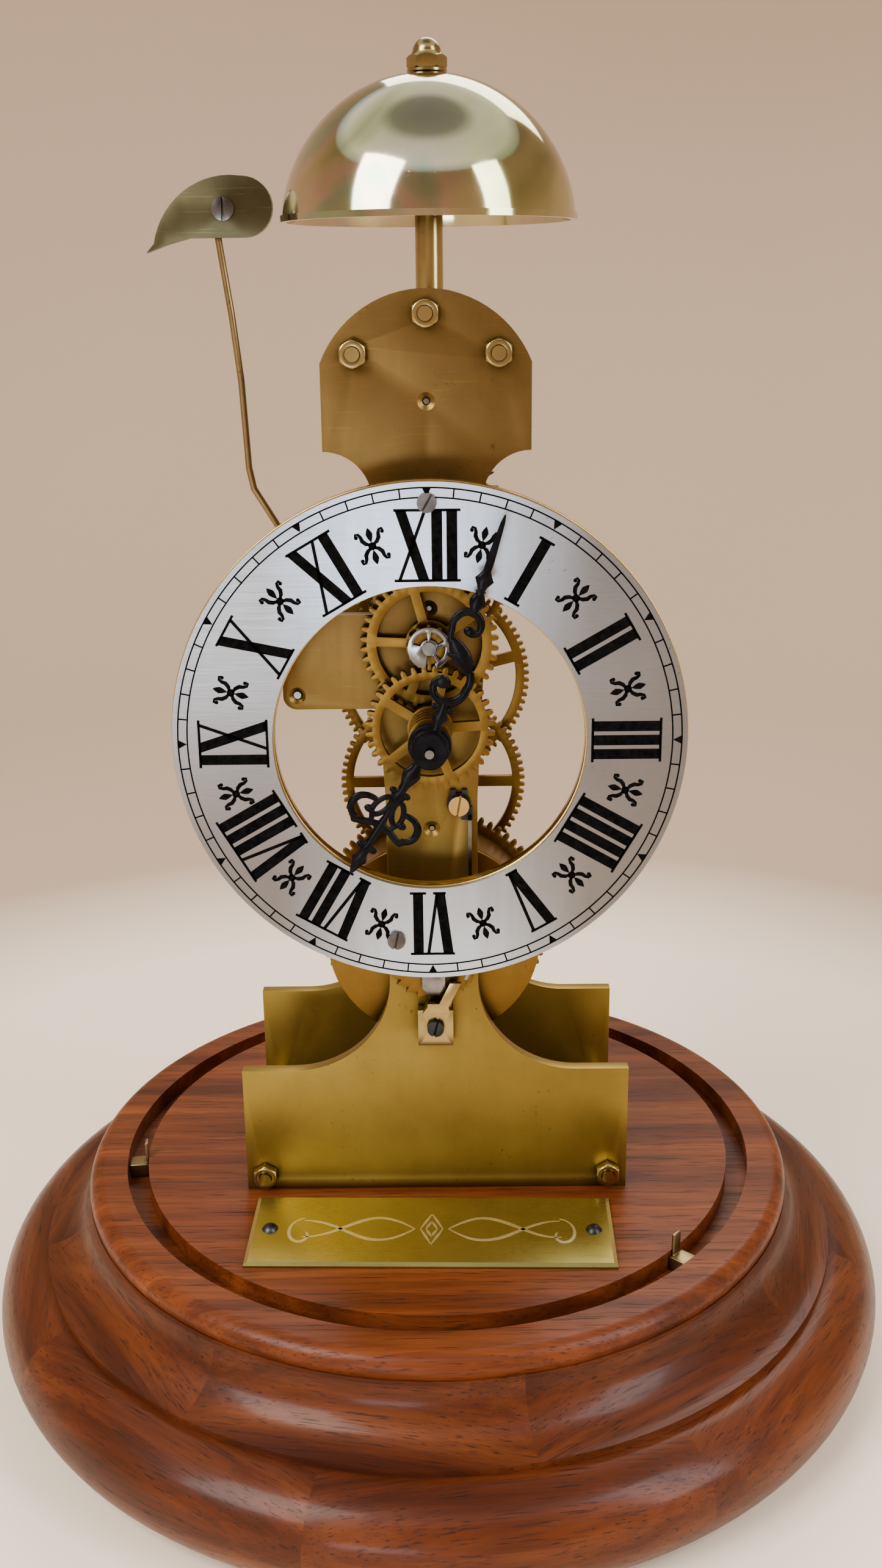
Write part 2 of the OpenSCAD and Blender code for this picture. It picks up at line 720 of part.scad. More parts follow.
module centre_wheel() color("goldenrod")
  train_wheel(main_n, train_m, main_y, 1.5, centre_z, 20.6, 4.8, 5, 2.6, 14, 1.6);

// Arm on the centre arbor whose pin lifts the hammer's tail once an hour
lift_turn = 109;
module lifting_arm() color("goldenrod") {
  facing(cam_y - 2, 1.4, [0, centre_z]) difference() {
    union() {
      circle(3.6);
      rotate(lift_turn) translate([0, -1.4]) square([lift_r, 2.8]);
      translate(polar(lift_r, lift_turn)) circle(1.4);
    }
    circle(1.6);
  }
  translate([0, 0, 0]) bar(0.8, cam_y - 2.2, cam_y + 0.6, [lift_r * cos(lift_turn), centre_z + lift_r * sin(lift_turn)]);
}

module third_arbor() color("lightsteelblue") {
  at = [0, third_z];
  bar(0.5, plate_front + 0.5, rear_back - 0.3, at);
  bar(0.8, plate_back + 0.4, rear_front - 0.4, at);
  facing(19.3, 4.5, at) pinion_2d(third_n, train_m, -90 + 180 / third_n);
  bar(2.2, 6.4, 9, at);
}

module third_wheel() color("goldenrod")
  train_wheel(third_w_n, escape_m, third_y, 1.2, third_z, 15.8, 3.6, 5, 2, 90, 0.8);

module escape_arbor() color("lightsteelblue") {
  at = [0, escape_z];
  bar(0.5, plate_front + 0.5, rear_back - 0.3, at);
  bar(0.8, plate_back + 0.4, rear_front - 0.4, at);
  facing(12, 5, at) pinion_2d(escape_n, escape_m, -90 + 180 / escape_n);
  bar(2, 2.4, 4.4, at);
}

// Pointed raked teeth
module escape_wheel() color("goldenrod") facing(scape_y, 1.2, [0, escape_z]) difference() {
  step = 360 / scape_teeth;
  polygon([for (i = [0 : scape_teeth - 1])
    for (p = [[13.6, -0.46], [14.4, -0.2], [scape_r, -0.02], [scape_r, 0.05], [13.9, 0.16], [13.6, 0.36]])
      polar(p[0], 90 + step / 2 - (i + p[1]) * step)]);
  windows_2d(12, 3.2, 5, 1.8, 30);
  circle(0.8);
}

// ---- Escapement and pendulum ----

module pallet_arbor() color("lightsteelblue") {
  at = [0, pallet_z];
  bar(0.6, plate_front + 0.5, 30, at);
  bar(0.9, plate_back + 0.4, 27.2, at);
  bar(2, 2.9, 4.6, at);
  bar(2, 24.4, 26.4, at);
}

// Anchor that spans the top of the escape wheel. Its pallets stay just outside the teeth
// over the whole swing.
anchor_reach = 44;
pallet_gap = 0.95;
module pallets() color("lightslategray") facing(2.9, 1.9, [0, escape_z]) difference() {
  arm = pallet_z - escape_z;
  union() {
    translate([0, arm]) circle(3);
    intersection() {
      difference() { circle(scape_r + 6.6); circle(scape_r + 3.8); }
      polygon([[0, 0], polar(60, 90 - anchor_reach), polar(60, 90 + anchor_reach)]);
    }
    translate([-1.7, scape_r + 4]) square([3.4, arm - scape_r - 4]);
    for (s = [-1, 1]) rotate(90 - s * (anchor_reach - 4))
      translate([scape_r + pallet_gap, -1.2]) square([5, 2.4]);
  }
  translate([0, arm]) circle(0.9);
}

// Crutch: an arm behind the rear plate ending in a fork round the pendulum rod
crutch_z = 150;
module crutch() color("goldenrod") {
  facing(26.4, 1.4) difference() {
    union() {
      translate([0, pallet_z]) circle(3);
      translate([-1, crutch_z - 3]) square([2, pallet_z - crutch_z + 1]);
    }
    translate([0, pallet_z]) circle(2);
  }
  difference() {
    translate([-3, 25, base_h + crutch_z - 3]) cube([6, 12, 1.4]);
    translate([-1.15, 30, base_h + crutch_z - 4]) cube([2.3, 8, 4]);
  }
}

cock_screw_at = [[-13, 187], [13, 187]];

// Bridge behind the rear plate: rear pivot of the pallet arbor and the pendulum's slotted stud
module back_cock() color("goldenrod") difference() {
  union() {
    facing(30.6, 2.4) translate([-16, 183]) square([32, 8]);
    for (p = cock_screw_at) bar(3, rear_back, 28.4, p);
    facing(37.5, 7) translate([-3, 189.5]) square([6, 7.5]);
    facing(30.6, 2.4) translate([-3, 189.5]) square([6, 7.5]);
  }
  bar(0.65, 28, 30.4, [0, pallet_z]);
  for (p = cock_screw_at) bar(1.1, rear_back - e, 31, p);
  facing(38, 6.5) translate([-0.25, 189]) square([0.5, 9]);
  translate([-4, hang_y, base_h + 193]) rotate([0, 90, 0]) cylinder(r = 0.55, h = 8);
}

module cock_screws() color("gainsboro") for (p = cock_screw_at) difference() {
  union() {
    bar(2, 30.6, 31.9, p);
    bar(1.1, rear_front + 0.4, 31, p);
  }
  facing(32.5, 1.1, p) square([5, 0.45], center = true);
}

// Thin strip that the pendulum hangs from, on its cross pin
spring_foot = 181.6;
module suspension_spring() color("lightsteelblue") {
  translate([-0.1, hang_y - 2, base_h + spring_foot]) cube([0.2, 4, 14.4]);
  translate([-3.3, hang_y, base_h + 193]) rotate([0, 90, 0]) cylinder(r = 0.5, h = 6.6);
}

// Rod with a slotted head for the suspension spring, a ring that leaves room for the key
// on the winding square, and a rating nut under the bob
ring_r = 11;
module pendulum_rod() color("goldenrod") difference() {
  union() {
    translate([0, hang_y, base_h + 6]) cylinder(r = 1.1, h = barrel_z - ring_r - 6);
    translate([0, hang_y, base_h + barrel_z + ring_r]) cylinder(r = 1.1, h = 178 - barrel_z - ring_r);
    facing(hang_y + 1, 2, [0, barrel_z]) difference() { circle(ring_r + 1); circle(ring_r - 1); }
    translate([-1.5, hang_y - 3, base_h + 177.5]) cube([3, 6, 6]);
    translate([0, hang_y, base_h + bob_z - bob_r - 2.6]) cylinder(r = 3.2, h = 2.2);
  }
  translate([-0.4, hang_y - 4, base_h + spring_foot - 0.3]) cube([0.8, 8, 4]);
}

// Lens-shaped bob, drilled up its middle for the rod
module pendulum_bob() color("goldenrod") difference() {
  lens = (bob_r * bob_r + bob_t * bob_t / 4) / bob_t;
  translate([0, hang_y, base_h + bob_z]) rotate([90, 0, 0]) rotate_extrude($fn = 96) intersection() {
    translate([0, bob_t / 2 - lens]) circle(lens, $fn = 192);
    translate([0, lens - bob_t / 2]) circle(lens, $fn = 192);
    translate([0, -bob_t]) square([bob_r - 0.4, 2 * bob_t]);
  }
  translate([0, hang_y, base_h]) cylinder(r = 1.1, h = 60);
}

// ---- Hammer ----

module hammer_arbor() color("lightsteelblue") {
  bar(0.8, plate_front + 0.5, rear_back - 0.3, hammer_at);
  bar(1.3, plate_back + 0.4, rear_front - 0.4, hammer_at);
  bar(2.6, hammer_y - 2.6, hammer_y + 2.6, hammer_at);
  bar(2.6, cam_y - 2, cam_y + 2, hammer_at);
  // tail that the lifting pin raises
  facing(cam_y + 0.6, 1.2, hammer_at) rotate(-8) {
    translate([0, -0.8]) square([22.2, 1.6]);
    translate([22.2, 0]) circle(0.8);
  }
}

// Wire stem, bent outward under the dial's edge
stem_r = 0.75;
stem = [[-29.6, 126.4], [-30.9, 148], [-31.8, 153], [-34.9, 158.9], [-39.4, 166.4],
  [-40.3, 171], [-41.1, 190], [-42.5, 204], [-45, 223]];
module hammer_stem() color("darkgoldenrod") for (i = [0 : len(stem) - 2]) hull() for (p = [stem[i], stem[i + 1]])
  translate([p[0], hammer_y, base_h + p[1]]) sphere(stem_r, $fn = 16);

// Flat comma-shaped head with its slotted screw
module hammer_head() {
  lobe = [-38.8, 226.1];
  lobe_r = 6.2;
  back = [-41.4, 215.2];
  back_r = 17.3;
  tip = [-60, 217];
  color("darkkhaki") difference() {
    facing(hammer_y + 1.5, 3) polygon(concat(
      [tip],
      [for (a = [168 : -6 : 90]) back + polar(back_r, a)],
      [for (a = [80 : -12 : -90]) lobe + polar(lobe_r, a)],
      [[-50.6, 219.9], [-55.2, 218.7]]));
    translate([0, hammer_y, base_h]) for (i = [len(stem) - 2]) hull() for (p = [stem[i], stem[i + 1]])
      translate([p[0], 0, p[1]]) sphere(stem_r, $fn = 16);
    bar(1, hammer_y - 3, hammer_y + 3, head_screw_at);
  }
  color("gainsboro") slotted(head_screw_at, hammer_y - 1.5, 2.4, 0.9, 1, 0.7, 90);
}

// Coil round the hammer arbor, which drives the hammer at the bell
module hammer_spring() color("lightslategray") for (i = [0 : 4])
  translate([hammer_at[0], 6 + 0.9 * i, base_h + hammer_at[1]]) rotate([90, 0, 0])
    rotate_extrude() translate([2.1, 0]) circle(0.35, $fn = 16);

// ---- Assembly ----

base_board();
base_block();
base_felt();
frame_screws();
nameplate();
nameplate_screws();
dome_tabs();
front_plate();
rear_plate();
upper_pillars();
lower_pillars();
plate_nuts();
bell_post();
bell();
bell_washer();
bell_nut();
dial_backing();
dial_plate();
dial_posts();
dial_screws();
minute_wheel_post();
post_clip();
click_screw();
click_spring();
spring_clamp();
spring_screw();
back_cock();
cock_screws();
hammer_spring();
suspension_spring();
barrel_arbor();
ratchet_wheel();
ratchet_keeper();
click();
barrel_drum();
barrel_cover();
great_wheel();
mainspring();
intermediate_arbor();
intermediate_wheel();
centre_arbor();
centre_wheel();
lifting_arm();
third_arbor();
third_wheel();
escape_arbor();
escape_wheel();
pallet_arbor();
pallets();
crutch();
pendulum_rod();
pendulum_bob();
cannon_pinion();
minute_hand();
hour_motion();
hour_hand();
minute_motion();
hammer_arbor();
hammer_stem();
hammer_head();
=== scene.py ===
"""Looks of a brass skeleton clock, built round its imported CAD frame."""

import json
import math

import bmesh
import bpy
from mathutils import Matrix, Vector


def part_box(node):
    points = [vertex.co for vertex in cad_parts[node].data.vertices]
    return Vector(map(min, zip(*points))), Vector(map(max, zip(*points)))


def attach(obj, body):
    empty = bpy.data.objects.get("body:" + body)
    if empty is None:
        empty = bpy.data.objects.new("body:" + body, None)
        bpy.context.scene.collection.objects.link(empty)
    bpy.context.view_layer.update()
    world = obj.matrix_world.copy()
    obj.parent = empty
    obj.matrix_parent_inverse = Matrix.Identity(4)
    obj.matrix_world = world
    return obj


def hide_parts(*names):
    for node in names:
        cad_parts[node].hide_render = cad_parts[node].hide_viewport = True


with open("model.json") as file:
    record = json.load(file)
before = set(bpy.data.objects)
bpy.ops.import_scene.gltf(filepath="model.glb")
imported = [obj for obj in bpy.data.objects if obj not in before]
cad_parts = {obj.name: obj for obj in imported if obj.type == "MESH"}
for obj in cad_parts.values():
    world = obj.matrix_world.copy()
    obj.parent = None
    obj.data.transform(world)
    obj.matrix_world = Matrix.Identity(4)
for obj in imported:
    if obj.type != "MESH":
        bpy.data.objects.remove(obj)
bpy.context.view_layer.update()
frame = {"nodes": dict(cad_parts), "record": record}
MM = 0.001
NODES = frame["nodes"]


def middle(node):
    lo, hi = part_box(node)
    return (Vector(lo) + Vector(hi)) / 2


# ---- Places read from the frame ----
DIAL = middle("dial_plate")
DIAL_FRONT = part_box("dial_plate")[0][1]
DIAL_R = (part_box("dial_plate")[1][0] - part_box("dial_plate")[0][0]) / 2
TOP_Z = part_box("base_board")[1][2]
HOUR_ANGLE = math.radians(211.5)
MINUTE_ANGLE = math.radians(18.0)


# ---- Materials ----
SOCKETS = {
    "metal": "Metallic", "coat": "Coat Weight", "coat_rough": "Coat Roughness",
    "sheen": "Sheen Weight", "aniso": "Anisotropic", "specular": "Specular IOR Level",
}

SKY_SHUT, SKY_SPAN = 0.25, 0.6  # share of open sky at which the painted crevice shade is darkest, and how much more open sky fades it out

class Shader:
    """One material's nodes, with a short call for each kind of node."""

    def __init__(self, name, **uniform):
        self.material = bpy.data.materials.new(name)
        self.material.use_nodes = True
        self.tree = self.material.node_tree
        self.bsdf = self.tree.nodes["Principled BSDF"]
        for key, value in uniform.items():
            self.bsdf.inputs[SOCKETS[key]].default_value = value
        self.place = self.tree.nodes.new("ShaderNodeTexCoord").outputs["Object"]

    def node(self, kind, inputs=None, **props):
        made = self.tree.nodes.new(kind)
        for key, value in props.items():
            setattr(made, key, value)
        for key, value in (inputs or {}).items():
            if isinstance(value, bpy.types.NodeSocket):
                self.tree.links.new(value, made.inputs[key])
            else:
                made.inputs[key].default_value = value
        return made

    def stretched(self, x, y, z, vector=None):
        """Coordinates scaled along each axis, in repeats per metre."""
        inputs = {"Vector": vector or self.place, "Scale": (x, y, z)}
        return self.node("ShaderNodeMapping", inputs).outputs["Vector"]

    def noise(self, scale=1.0, detail=4.0, rough=0.5, vector=None, distortion=0.0):
        inputs = {"Vector": vector or self.place, "Scale": scale, "Detail": detail,
                  "Roughness": rough, "Distortion": distortion}
        return self.node("ShaderNodeTexNoise", inputs).outputs["Fac"]

    def math(self, operation, a, b=0.0, c=0.0, clamp=False):
        return self.node("ShaderNodeMath", {0: a, 1: b, 2: c}, operation=operation,
                         use_clamp=clamp).outputs[0]

    def ramp(self, factor, *stops):
        made = self.node("ShaderNodeValToRGB", {"Fac": factor})
        elements = made.color_ramp.elements
        while len(elements) < len(stops):
            elements.new(0.5)
        for element, (position, colour) in zip(elements, stops):
            element.position = position
            element.color = (*colour, 1.0)
        return made.outputs["Color"]

    def between(self, factor, low, high):
        """A factor from 0 to 1 mapped to a number from low to high."""
        inputs = {"Value": factor, "To Min": low, "To Max": high}
        return self.node("ShaderNodeMapRange", inputs).outputs["Result"]

    def blend(self, factor, a, b, how="MIX"):
        made = self.node("ShaderNodeMix", data_type="RGBA", blend_type=how)
        for index, value in ((0, factor), (6, a), (7, b)):
            if isinstance(value, bpy.types.NodeSocket):
                self.tree.links.new(value, made.inputs[index])
            else:
                made.inputs[index].default_value = value if index == 0 else (*value, 1.0)
        return made.outputs[2]

    def bump(self, height, depth, strength=1.0, after=None):
        inputs = {"Height": height, "Distance": depth, "Strength": strength}
        if after is not None:
            inputs["Normal"] = after
        return self.node("ShaderNodeBump", inputs).outputs["Normal"]

    def mask(self, factor, start, end):
        """Black where the factor is under start, white where it is over end."""
        return self.ramp(factor, (start, (0, 0, 0)), (end, (1, 1, 1)))

    def tinted(self, colour, tint):
        return self.blend(1.0, colour, tint, "MULTIPLY")

    def axes(self):
        """The place's x, y and z in metres."""
        return self.node("ShaderNodeSeparateXYZ", {0: self.place}).outputs

    def painted_crevice_shade(self, colour, reach, dark):
        """The colour darkened with painted shade in crevices narrower than the reach in metres."""
        # Painted shade: the less open sky a point sees, the darker its colour
        sky = self.node("ShaderNodeAmbientOcclusion", {"Distance": reach}, samples=6).outputs["AO"]
        unshaded = self.math("DIVIDE", self.math("SUBTRACT", sky, SKY_SHUT), SKY_SPAN, clamp=True)
        return self.blend(unshaded, dark, colour)

    def finish(self, colour, rough, normal=None):
        self.tree.links.new(colour, self.bsdf.inputs["Base Color"])
        self.tree.links.new(rough, self.bsdf.inputs["Roughness"])
        if normal is not None:
            self.tree.links.new(normal, self.bsdf.inputs["Normal"])
        return self.material


OLIVE_START, OLIVE_SPAN = 0.09, 0.12  # metres below its height that the olive starts, and its fade


def brass(name, light, dark, tarnish, rough, grain, depth, spots=0.62, olive_above=None,
          scratches=0.0, reach=0.0015):
    """Brass with brushed grain, cloudy tarnish and small dark spots.

    grain is in repeats per metre on each axis, and depth in metres. The metal turns darker and
    a deep olive about the height olive_above in metres. scratches is how bright its fine marks
    are, and reach is how wide a crevice in metres takes painted shade."""
    s = Shader(name, metal=1.0)
    cloud = s.noise(38, 5, 0.6)
    brushing = s.noise(1.0, 3, 0.6, s.stretched(*grain))
    colour = s.ramp(cloud, (0.3, dark), (0.7, light))
    colour = s.blend(s.between(brushing, 0.0, 0.35), colour, dark)
    # Darker and more olive towards the top, from a little below the given height
    if olive_above:
        rise = s.math("SUBTRACT", s.axes()[2], olive_above - OLIVE_START)
        deep = s.math("DIVIDE", rise, OLIVE_SPAN, clamp=True)
        colour = s.blend(deep, colour, s.tinted(colour, (0.60, 0.53, 0.88)))
    spot = s.math("MULTIPLY", s.mask(s.noise(900, 3, 0.7), spots, spots + 0.1),
                  s.mask(s.noise(120, 3, 0.5), 0.5, 0.7))
    colour = s.blend(spot, colour, tarnish)
    if scratches:
        line = s.noise(1.0, 2, 0.5, s.stretched(90, 90, 2600), distortion=0.4)
        colour = s.blend(s.math("MULTIPLY", s.mask(line, 0.64, 0.68), scratches), colour, light)
    # Painted shade: crevices narrower than the reach darken towards 0.22 of the dark colour
    colour = s.painted_crevice_shade(colour, reach, tuple(0.22 * channel for channel in dark))
    uneven = s.math("ADD", s.math("MULTIPLY", cloud, 0.5), s.math("MULTIPLY", brushing, 0.5))
    return s.finish(colour, s.between(uneven, *rough), s.bump(brushing, depth))


def steel(name, light, dark, rough, depth=3e-6):
    """Turned or drawn steel with fine grain, a little grey bloom and painted shade in its crevices.
    """
    s = Shader(name, metal=1.0)
    grain = s.noise(1.0, 3, 0.6, s.stretched(2500, 60, 60))
    colour = s.ramp(s.noise(220, 4, 0.6), (0.35, dark), (0.65, light))
    # Painted shade: crevices under 1.2 mm darken towards 0.12 of the dark colour
    colour = s.painted_crevice_shade(colour, 0.0012, tuple(0.12 * channel for channel in dark))
    return s.finish(colour, s.between(grain, *rough), s.bump(grain, depth))


def bell_metal():
    """Polished bell metal with a soft heat tint and fine wipe marks."""
    s = Shader("bell_metal", metal=1.0, coat=0.15, coat_rough=0.05)
    tint = s.noise(26, 3, 0.5, distortion=1.2)
    colour = s.ramp(tint, (0.3, (0.30, 0.30, 0.13)), (0.42, (0.50, 0.49, 0.26)),
                    (0.52, (0.58, 0.48, 0.36)), (0.6, (0.34, 0.45, 0.32)),
                    (0.72, (0.46, 0.44, 0.20)))
    wipe = s.noise(1.0, 4, 0.7, s.stretched(500, 500, 60))
    dust = s.mask(s.noise(1500, 2, 0.5), 0.7, 0.78)
    rough = s.math("ADD", s.between(wipe, 0.05, 0.13), s.math("MULTIPLY", dust, 0.12))
    return s.finish(colour, rough, s.bump(s.noise(70, 2, 0.4), 2.5e-5, 0.5))


# Half the width in metres of the dial's painted highlight band
PAINTED_HIGHLIGHT_HALF_W = 0.034


def silvering():
    """Silvered dial brushed from side to side, with a painted bluish highlight above and below
    its middle, and small dark pits."""
    s = Shader("silvering", metal=1.0, aniso=0.55)
    brush = s.noise(1.0, 4, 0.65, s.stretched(70, 500, 5200))
    grey = s.ramp(s.noise(24, 3, 0.5), (0.35, (0.235, 0.237, 0.245)), (0.65, (0.30, 0.30, 0.31)))
    x, _, z = s.axes()
    # Painted highlight: a bluish-white band up the dial's middle, strongest towards twelve and six,
    # fading to the centre and the sides, broken into upright streaks
    across = s.math("DIVIDE", s.math("ABSOLUTE", s.math("SUBTRACT", x, DIAL.x)), PAINTED_HIGHLIGHT_HALF_W)
    rise = s.math("ABSOLUTE", s.math("SUBTRACT", z, DIAL.z))
    rise = s.math("DIVIDE", rise, DIAL_R, clamp=True)
    sheen = s.math("MULTIPLY", s.math("SUBTRACT", 1.0, across, clamp=True),
                   s.math("POWER", rise, 1.2))
    streak = s.noise(1.0, 3, 0.6, s.stretched(220, 10, 14))
    sheen = s.math("MULTIPLY", sheen, s.between(streak, 0.8, 2.3), clamp=True)
    colour = s.blend(sheen, grey, (0.66, 0.80, 1.0))
    colour = s.blend(s.between(brush, 0.0, 0.45), colour, s.tinted(colour, (0.6, 0.6, 0.62)))
    pit = s.math("MULTIPLY", s.mask(s.noise(1400, 3, 0.7), 0.66, 0.7),
                 s.mask(s.noise(34, 2, 0.4), 0.6, 0.68))
    colour = s.blend(pit, colour, (0.12, 0.11, 0.1))
    return s.finish(colour, s.between(brush, 0.2, 0.4), s.bump(brush, 7e-6))


def gloss_black():
    """Black lacquer with orange peel and faint dust."""
    s = Shader("gloss_black", coat=0.03, coat_rough=0.08, specular=0.05)
    peel = s.noise(1100, 3, 0.5)
    colour = s.ramp(s.noise(400, 4, 0.6), (0.4, (0.002, 0.002, 0.003)),
                    (0.7, (0.006, 0.006, 0.008)))
    return s.finish(colour, s.between(peel, 0.16, 0.3), s.bump(peel, 8e-6, 0.5))


def ink():
    """Printed black of the dial, a little worn."""
    s = Shader("dial_ink", specular=0.0)
    colour = s.ramp(s.noise(900, 4, 0.6), (0.3, (0.0015, 0.0015, 0.0015)),
                    (0.75, (0.006, 0.006, 0.006)))
    rough = s.between(s.noise(1500, 2, 0.5), 0.35, 0.55)
    return s.finish(colour, rough, s.bump(s.noise(2500), 4e-6))


def felt():
    """Dark green wool felt."""
    s = Shader("wool_felt", sheen=0.6)
    fibre = s.noise(2600, 5, 0.7, distortion=1.5)
    colour = s.ramp(fibre, (0.3, (0.01, 0.03, 0.016)), (0.7, (0.035, 0.085, 0.05)))
    return s.finish(colour, s.between(fibre, 0.85, 1.0), s.bump(fibre, 2e-4))


def wood_look(s, along, tone, warmth=(1.0, 1.0, 1.0)):
    """Walnut's figure, pores and lacquer from coordinates whose X runs with the grain."""
    figure = s.noise(1.0, 5, 0.6, s.stretched(7, 110, 110, along), distortion=0.35)
    streak = s.noise(1.0, 4, 0.7, s.stretched(28, 620, 620, along))
    pore = s.noise(1.0, 3, 0.6, s.stretched(90, 2300, 2300, along))
    colour = s.ramp(figure, (0.26, (0.026, 0.0052, 0.0016)), (0.45, (0.066, 0.0140, 0.0036)),
                    (0.6, (0.108, 0.0260, 0.0062)), (0.8, (0.170, 0.047, 0.0110)))
    colour = s.tinted(colour, warmth)
    dark = s.math("MULTIPLY", s.mask(streak, 0.45, 0.75), 0.6)
    colour = s.blend(dark, colour, (0.026, 0.007, 0.003))
    holes = s.mask(pore, 0.58, 0.66)
    colour = s.blend(s.math("MULTIPLY", holes, 0.75), colour, (0.014, 0.005, 0.003))
    colour = s.blend(tone, colour, s.tinted(colour, (0.62, 0.56, 0.5)))
    uneven = s.math("ADD", s.math("MULTIPLY", streak, 0.6), s.math("MULTIPLY", holes, 0.4))
    normal = s.bump(streak, 2.5e-5, 0.8, after=s.bump(holes, -3e-5, 0.8))
    return s.finish(colour, s.between(uneven, 0.3, 0.55), normal)


def walnut_board():
    """One wide board, its grain from side to side, warmer than the rings."""
    s = Shader("walnut_board", coat=0.05, coat_rough=0.2, specular=0.15)
    tone = s.between(s.noise(14, 2, 0.4), 0.0, 0.2)
    return wood_look(s, s.place, tone, (1.5, 1.5, 1.3))


RING_STEP = 2 * math.pi / 8    # one segment of a course
FIRST_JOINT = 0.31             # in steps, before the x axis
UPPER_LAG = 0.42               # in steps, from the lower course's joints to the upper's
COURSE_Z = TOP_Z - 19.2 * MM   # where the two courses are glued
COURSE_SEED = 31.0
BLANK_SPREAD = 3.0             # metres between the blanks that the segments are cut from


def walnut_ring():
    """Rings glued up from segments, each with its own grain, in two courses."""
    s = Shader("walnut_ring", coat=0.12, coat_rough=0.14, specular=0.12)
    x, y, z = s.axes()
    upper = s.math("GREATER_THAN", z, COURSE_Z)
    lag = s.math("MULTIPLY", upper, UPPER_LAG * RING_STEP)
    angle = s.math("ADD", s.math("ARCTAN2", y, x), lag)
    index = s.math("FLOOR", s.math("ADD", s.math("DIVIDE", angle, RING_STEP), FIRST_JOINT))
    centre = s.math("MULTIPLY", s.math("ADD", index, 0.5 - FIRST_JOINT), RING_STEP)
    centre = s.math("SUBTRACT", centre, lag)
    cos, sin = s.math("COSINE", centre), s.math("SINE", centre)
    along = s.math("SUBTRACT", s.math("MULTIPLY", y, cos), s.math("MULTIPLY", x, sin))
    out = s.math("ADD", s.math("MULTIPLY", x, cos), s.math("MULTIPLY", y, sin))
    seed = s.math("ADD", index, s.math("MULTIPLY", upper, COURSE_SEED))
    pick = s.node("ShaderNodeTexWhiteNoise", {"W": seed}, noise_dimensions="1D").outputs["Value"]
    shift = s.math("MULTIPLY", pick, BLANK_SPREAD)
    local = s.node("ShaderNodeCombineXYZ",
                   {0: s.math("ADD", along, shift), 1: s.math("ADD", out, shift), 2: z})
    return wood_look(s, local.outputs[0], s.between(pick, 0.0, 0.8))


FLOOR_ENDS, BACKDROP_STARTS = 0.235, 0.34  # metres from the clock's foot


def stage_paint():
    """Pale floor that turns into a warm, slightly deeper backdrop."""
    s = Shader("stage_paint", specular=0.2)
    distance = s.node("ShaderNodeVectorMath", {0: s.place}, operation="LENGTH").outputs["Value"]
    span = {"Value": distance, "From Min": FLOOR_ENDS, "From Max": BACKDROP_STARTS}
    far = s.node("ShaderNodeMapRange", span).outputs["Result"]
    colour = s.ramp(far, (0.0, (0.98, 0.83, 0.66)), (1.0, (0.50, 0.372, 0.266)))
    mottle = s.ramp(s.noise(3, 3, 0.5), (0.2, (0.96, 0.96, 0.96)), (0.8, (1.0, 1.0, 1.0)))
    return s.finish(s.tinted(colour, mottle), s.between(s.noise(60), 0.6, 0.75))


M = {
    "plate": brass("plate_brass", (0.315, 0.224, 0.044), (0.225, 0.155, 0.028),
                   (0.06, 0.038, 0.014), (0.33, 0.47), (900, 60, 60), 4e-6, olive_above=0.155,
                   scratches=0.15, reach=0.004),
    # Darker, browner copy of the plate brass: partly the wheels' own tone, partly painted shade for
    # the shaded inside of the movement; its wide reach spreads the painted crevice shade through the
    # wheelwork
    "wheel": brass("wheel_brass", (0.25, 0.148, 0.032), (0.135, 0.076, 0.015), (0.09, 0.055, 0.02),
                   (0.26, 0.42), (1400, 60, 700), 4e-6, 0.6, reach=0.008),
    "aged": brass("aged_brass", (0.46, 0.36, 0.15), (0.25, 0.19, 0.075), (0.08, 0.06, 0.03),
                  (0.14, 0.28), (1800, 300, 1800), 1.5e-6, 0.66),
    "bright": brass("bright_brass", (0.74, 0.56, 0.23), (0.54, 0.39, 0.14), (0.2, 0.12, 0.05),
                    (0.1, 0.22), (1500, 120, 1500), 2e-6, 0.66),
    "nameplate": brass("nameplate_brass", (0.52, 0.46, 0.15), (0.40, 0.345, 0.10),
                       (0.16, 0.11, 0.05), (0.2, 0.36), (50, 3200, 50), 1.5e-6, 0.64),
    "hammer": brass("hammer_brass", (0.125, 0.115, 0.062), (0.062, 0.056, 0.03), (0.05, 0.045, 0.03),
                    (0.24, 0.42), (60, 60, 2600), 6e-6, 0.6, scratches=0.9),
    "wire": brass("wire_brass", (0.34, 0.255, 0.12), (0.18, 0.13, 0.06), (0.08, 0.05, 0.03),
                  (0.26, 0.42), (3000, 3000, 120), 6e-6, 0.55),
    "engraved": brass("engraved_brass", (0.92, 0.88, 0.60), (0.78, 0.72, 0.45), (0.4, 0.34, 0.2),
                      (0.3, 0.5), (60, 3000, 60), 1e-6, 0.7),
    "bell": bell_metal(),
    "silver": silvering(),
    "steel": steel("bright_steel", (0.25, 0.25, 0.26), (0.14, 0.14, 0.147), (0.12, 0.22), 5e-7),
    "turned": steel("turned_steel", (0.16, 0.16, 0.168), (0.085, 0.085, 0.09), (0.16, 0.3),
                    5e-7),
    "blued": steel("blacked_steel", (0.05, 0.055, 0.06), (0.018, 0.018, 0.02), (0.3, 0.5)),
    "black": gloss_black(),
    "ink": ink(),
    "felt": felt(),
    "board": walnut_board(),
    "ring": walnut_ring(),
}

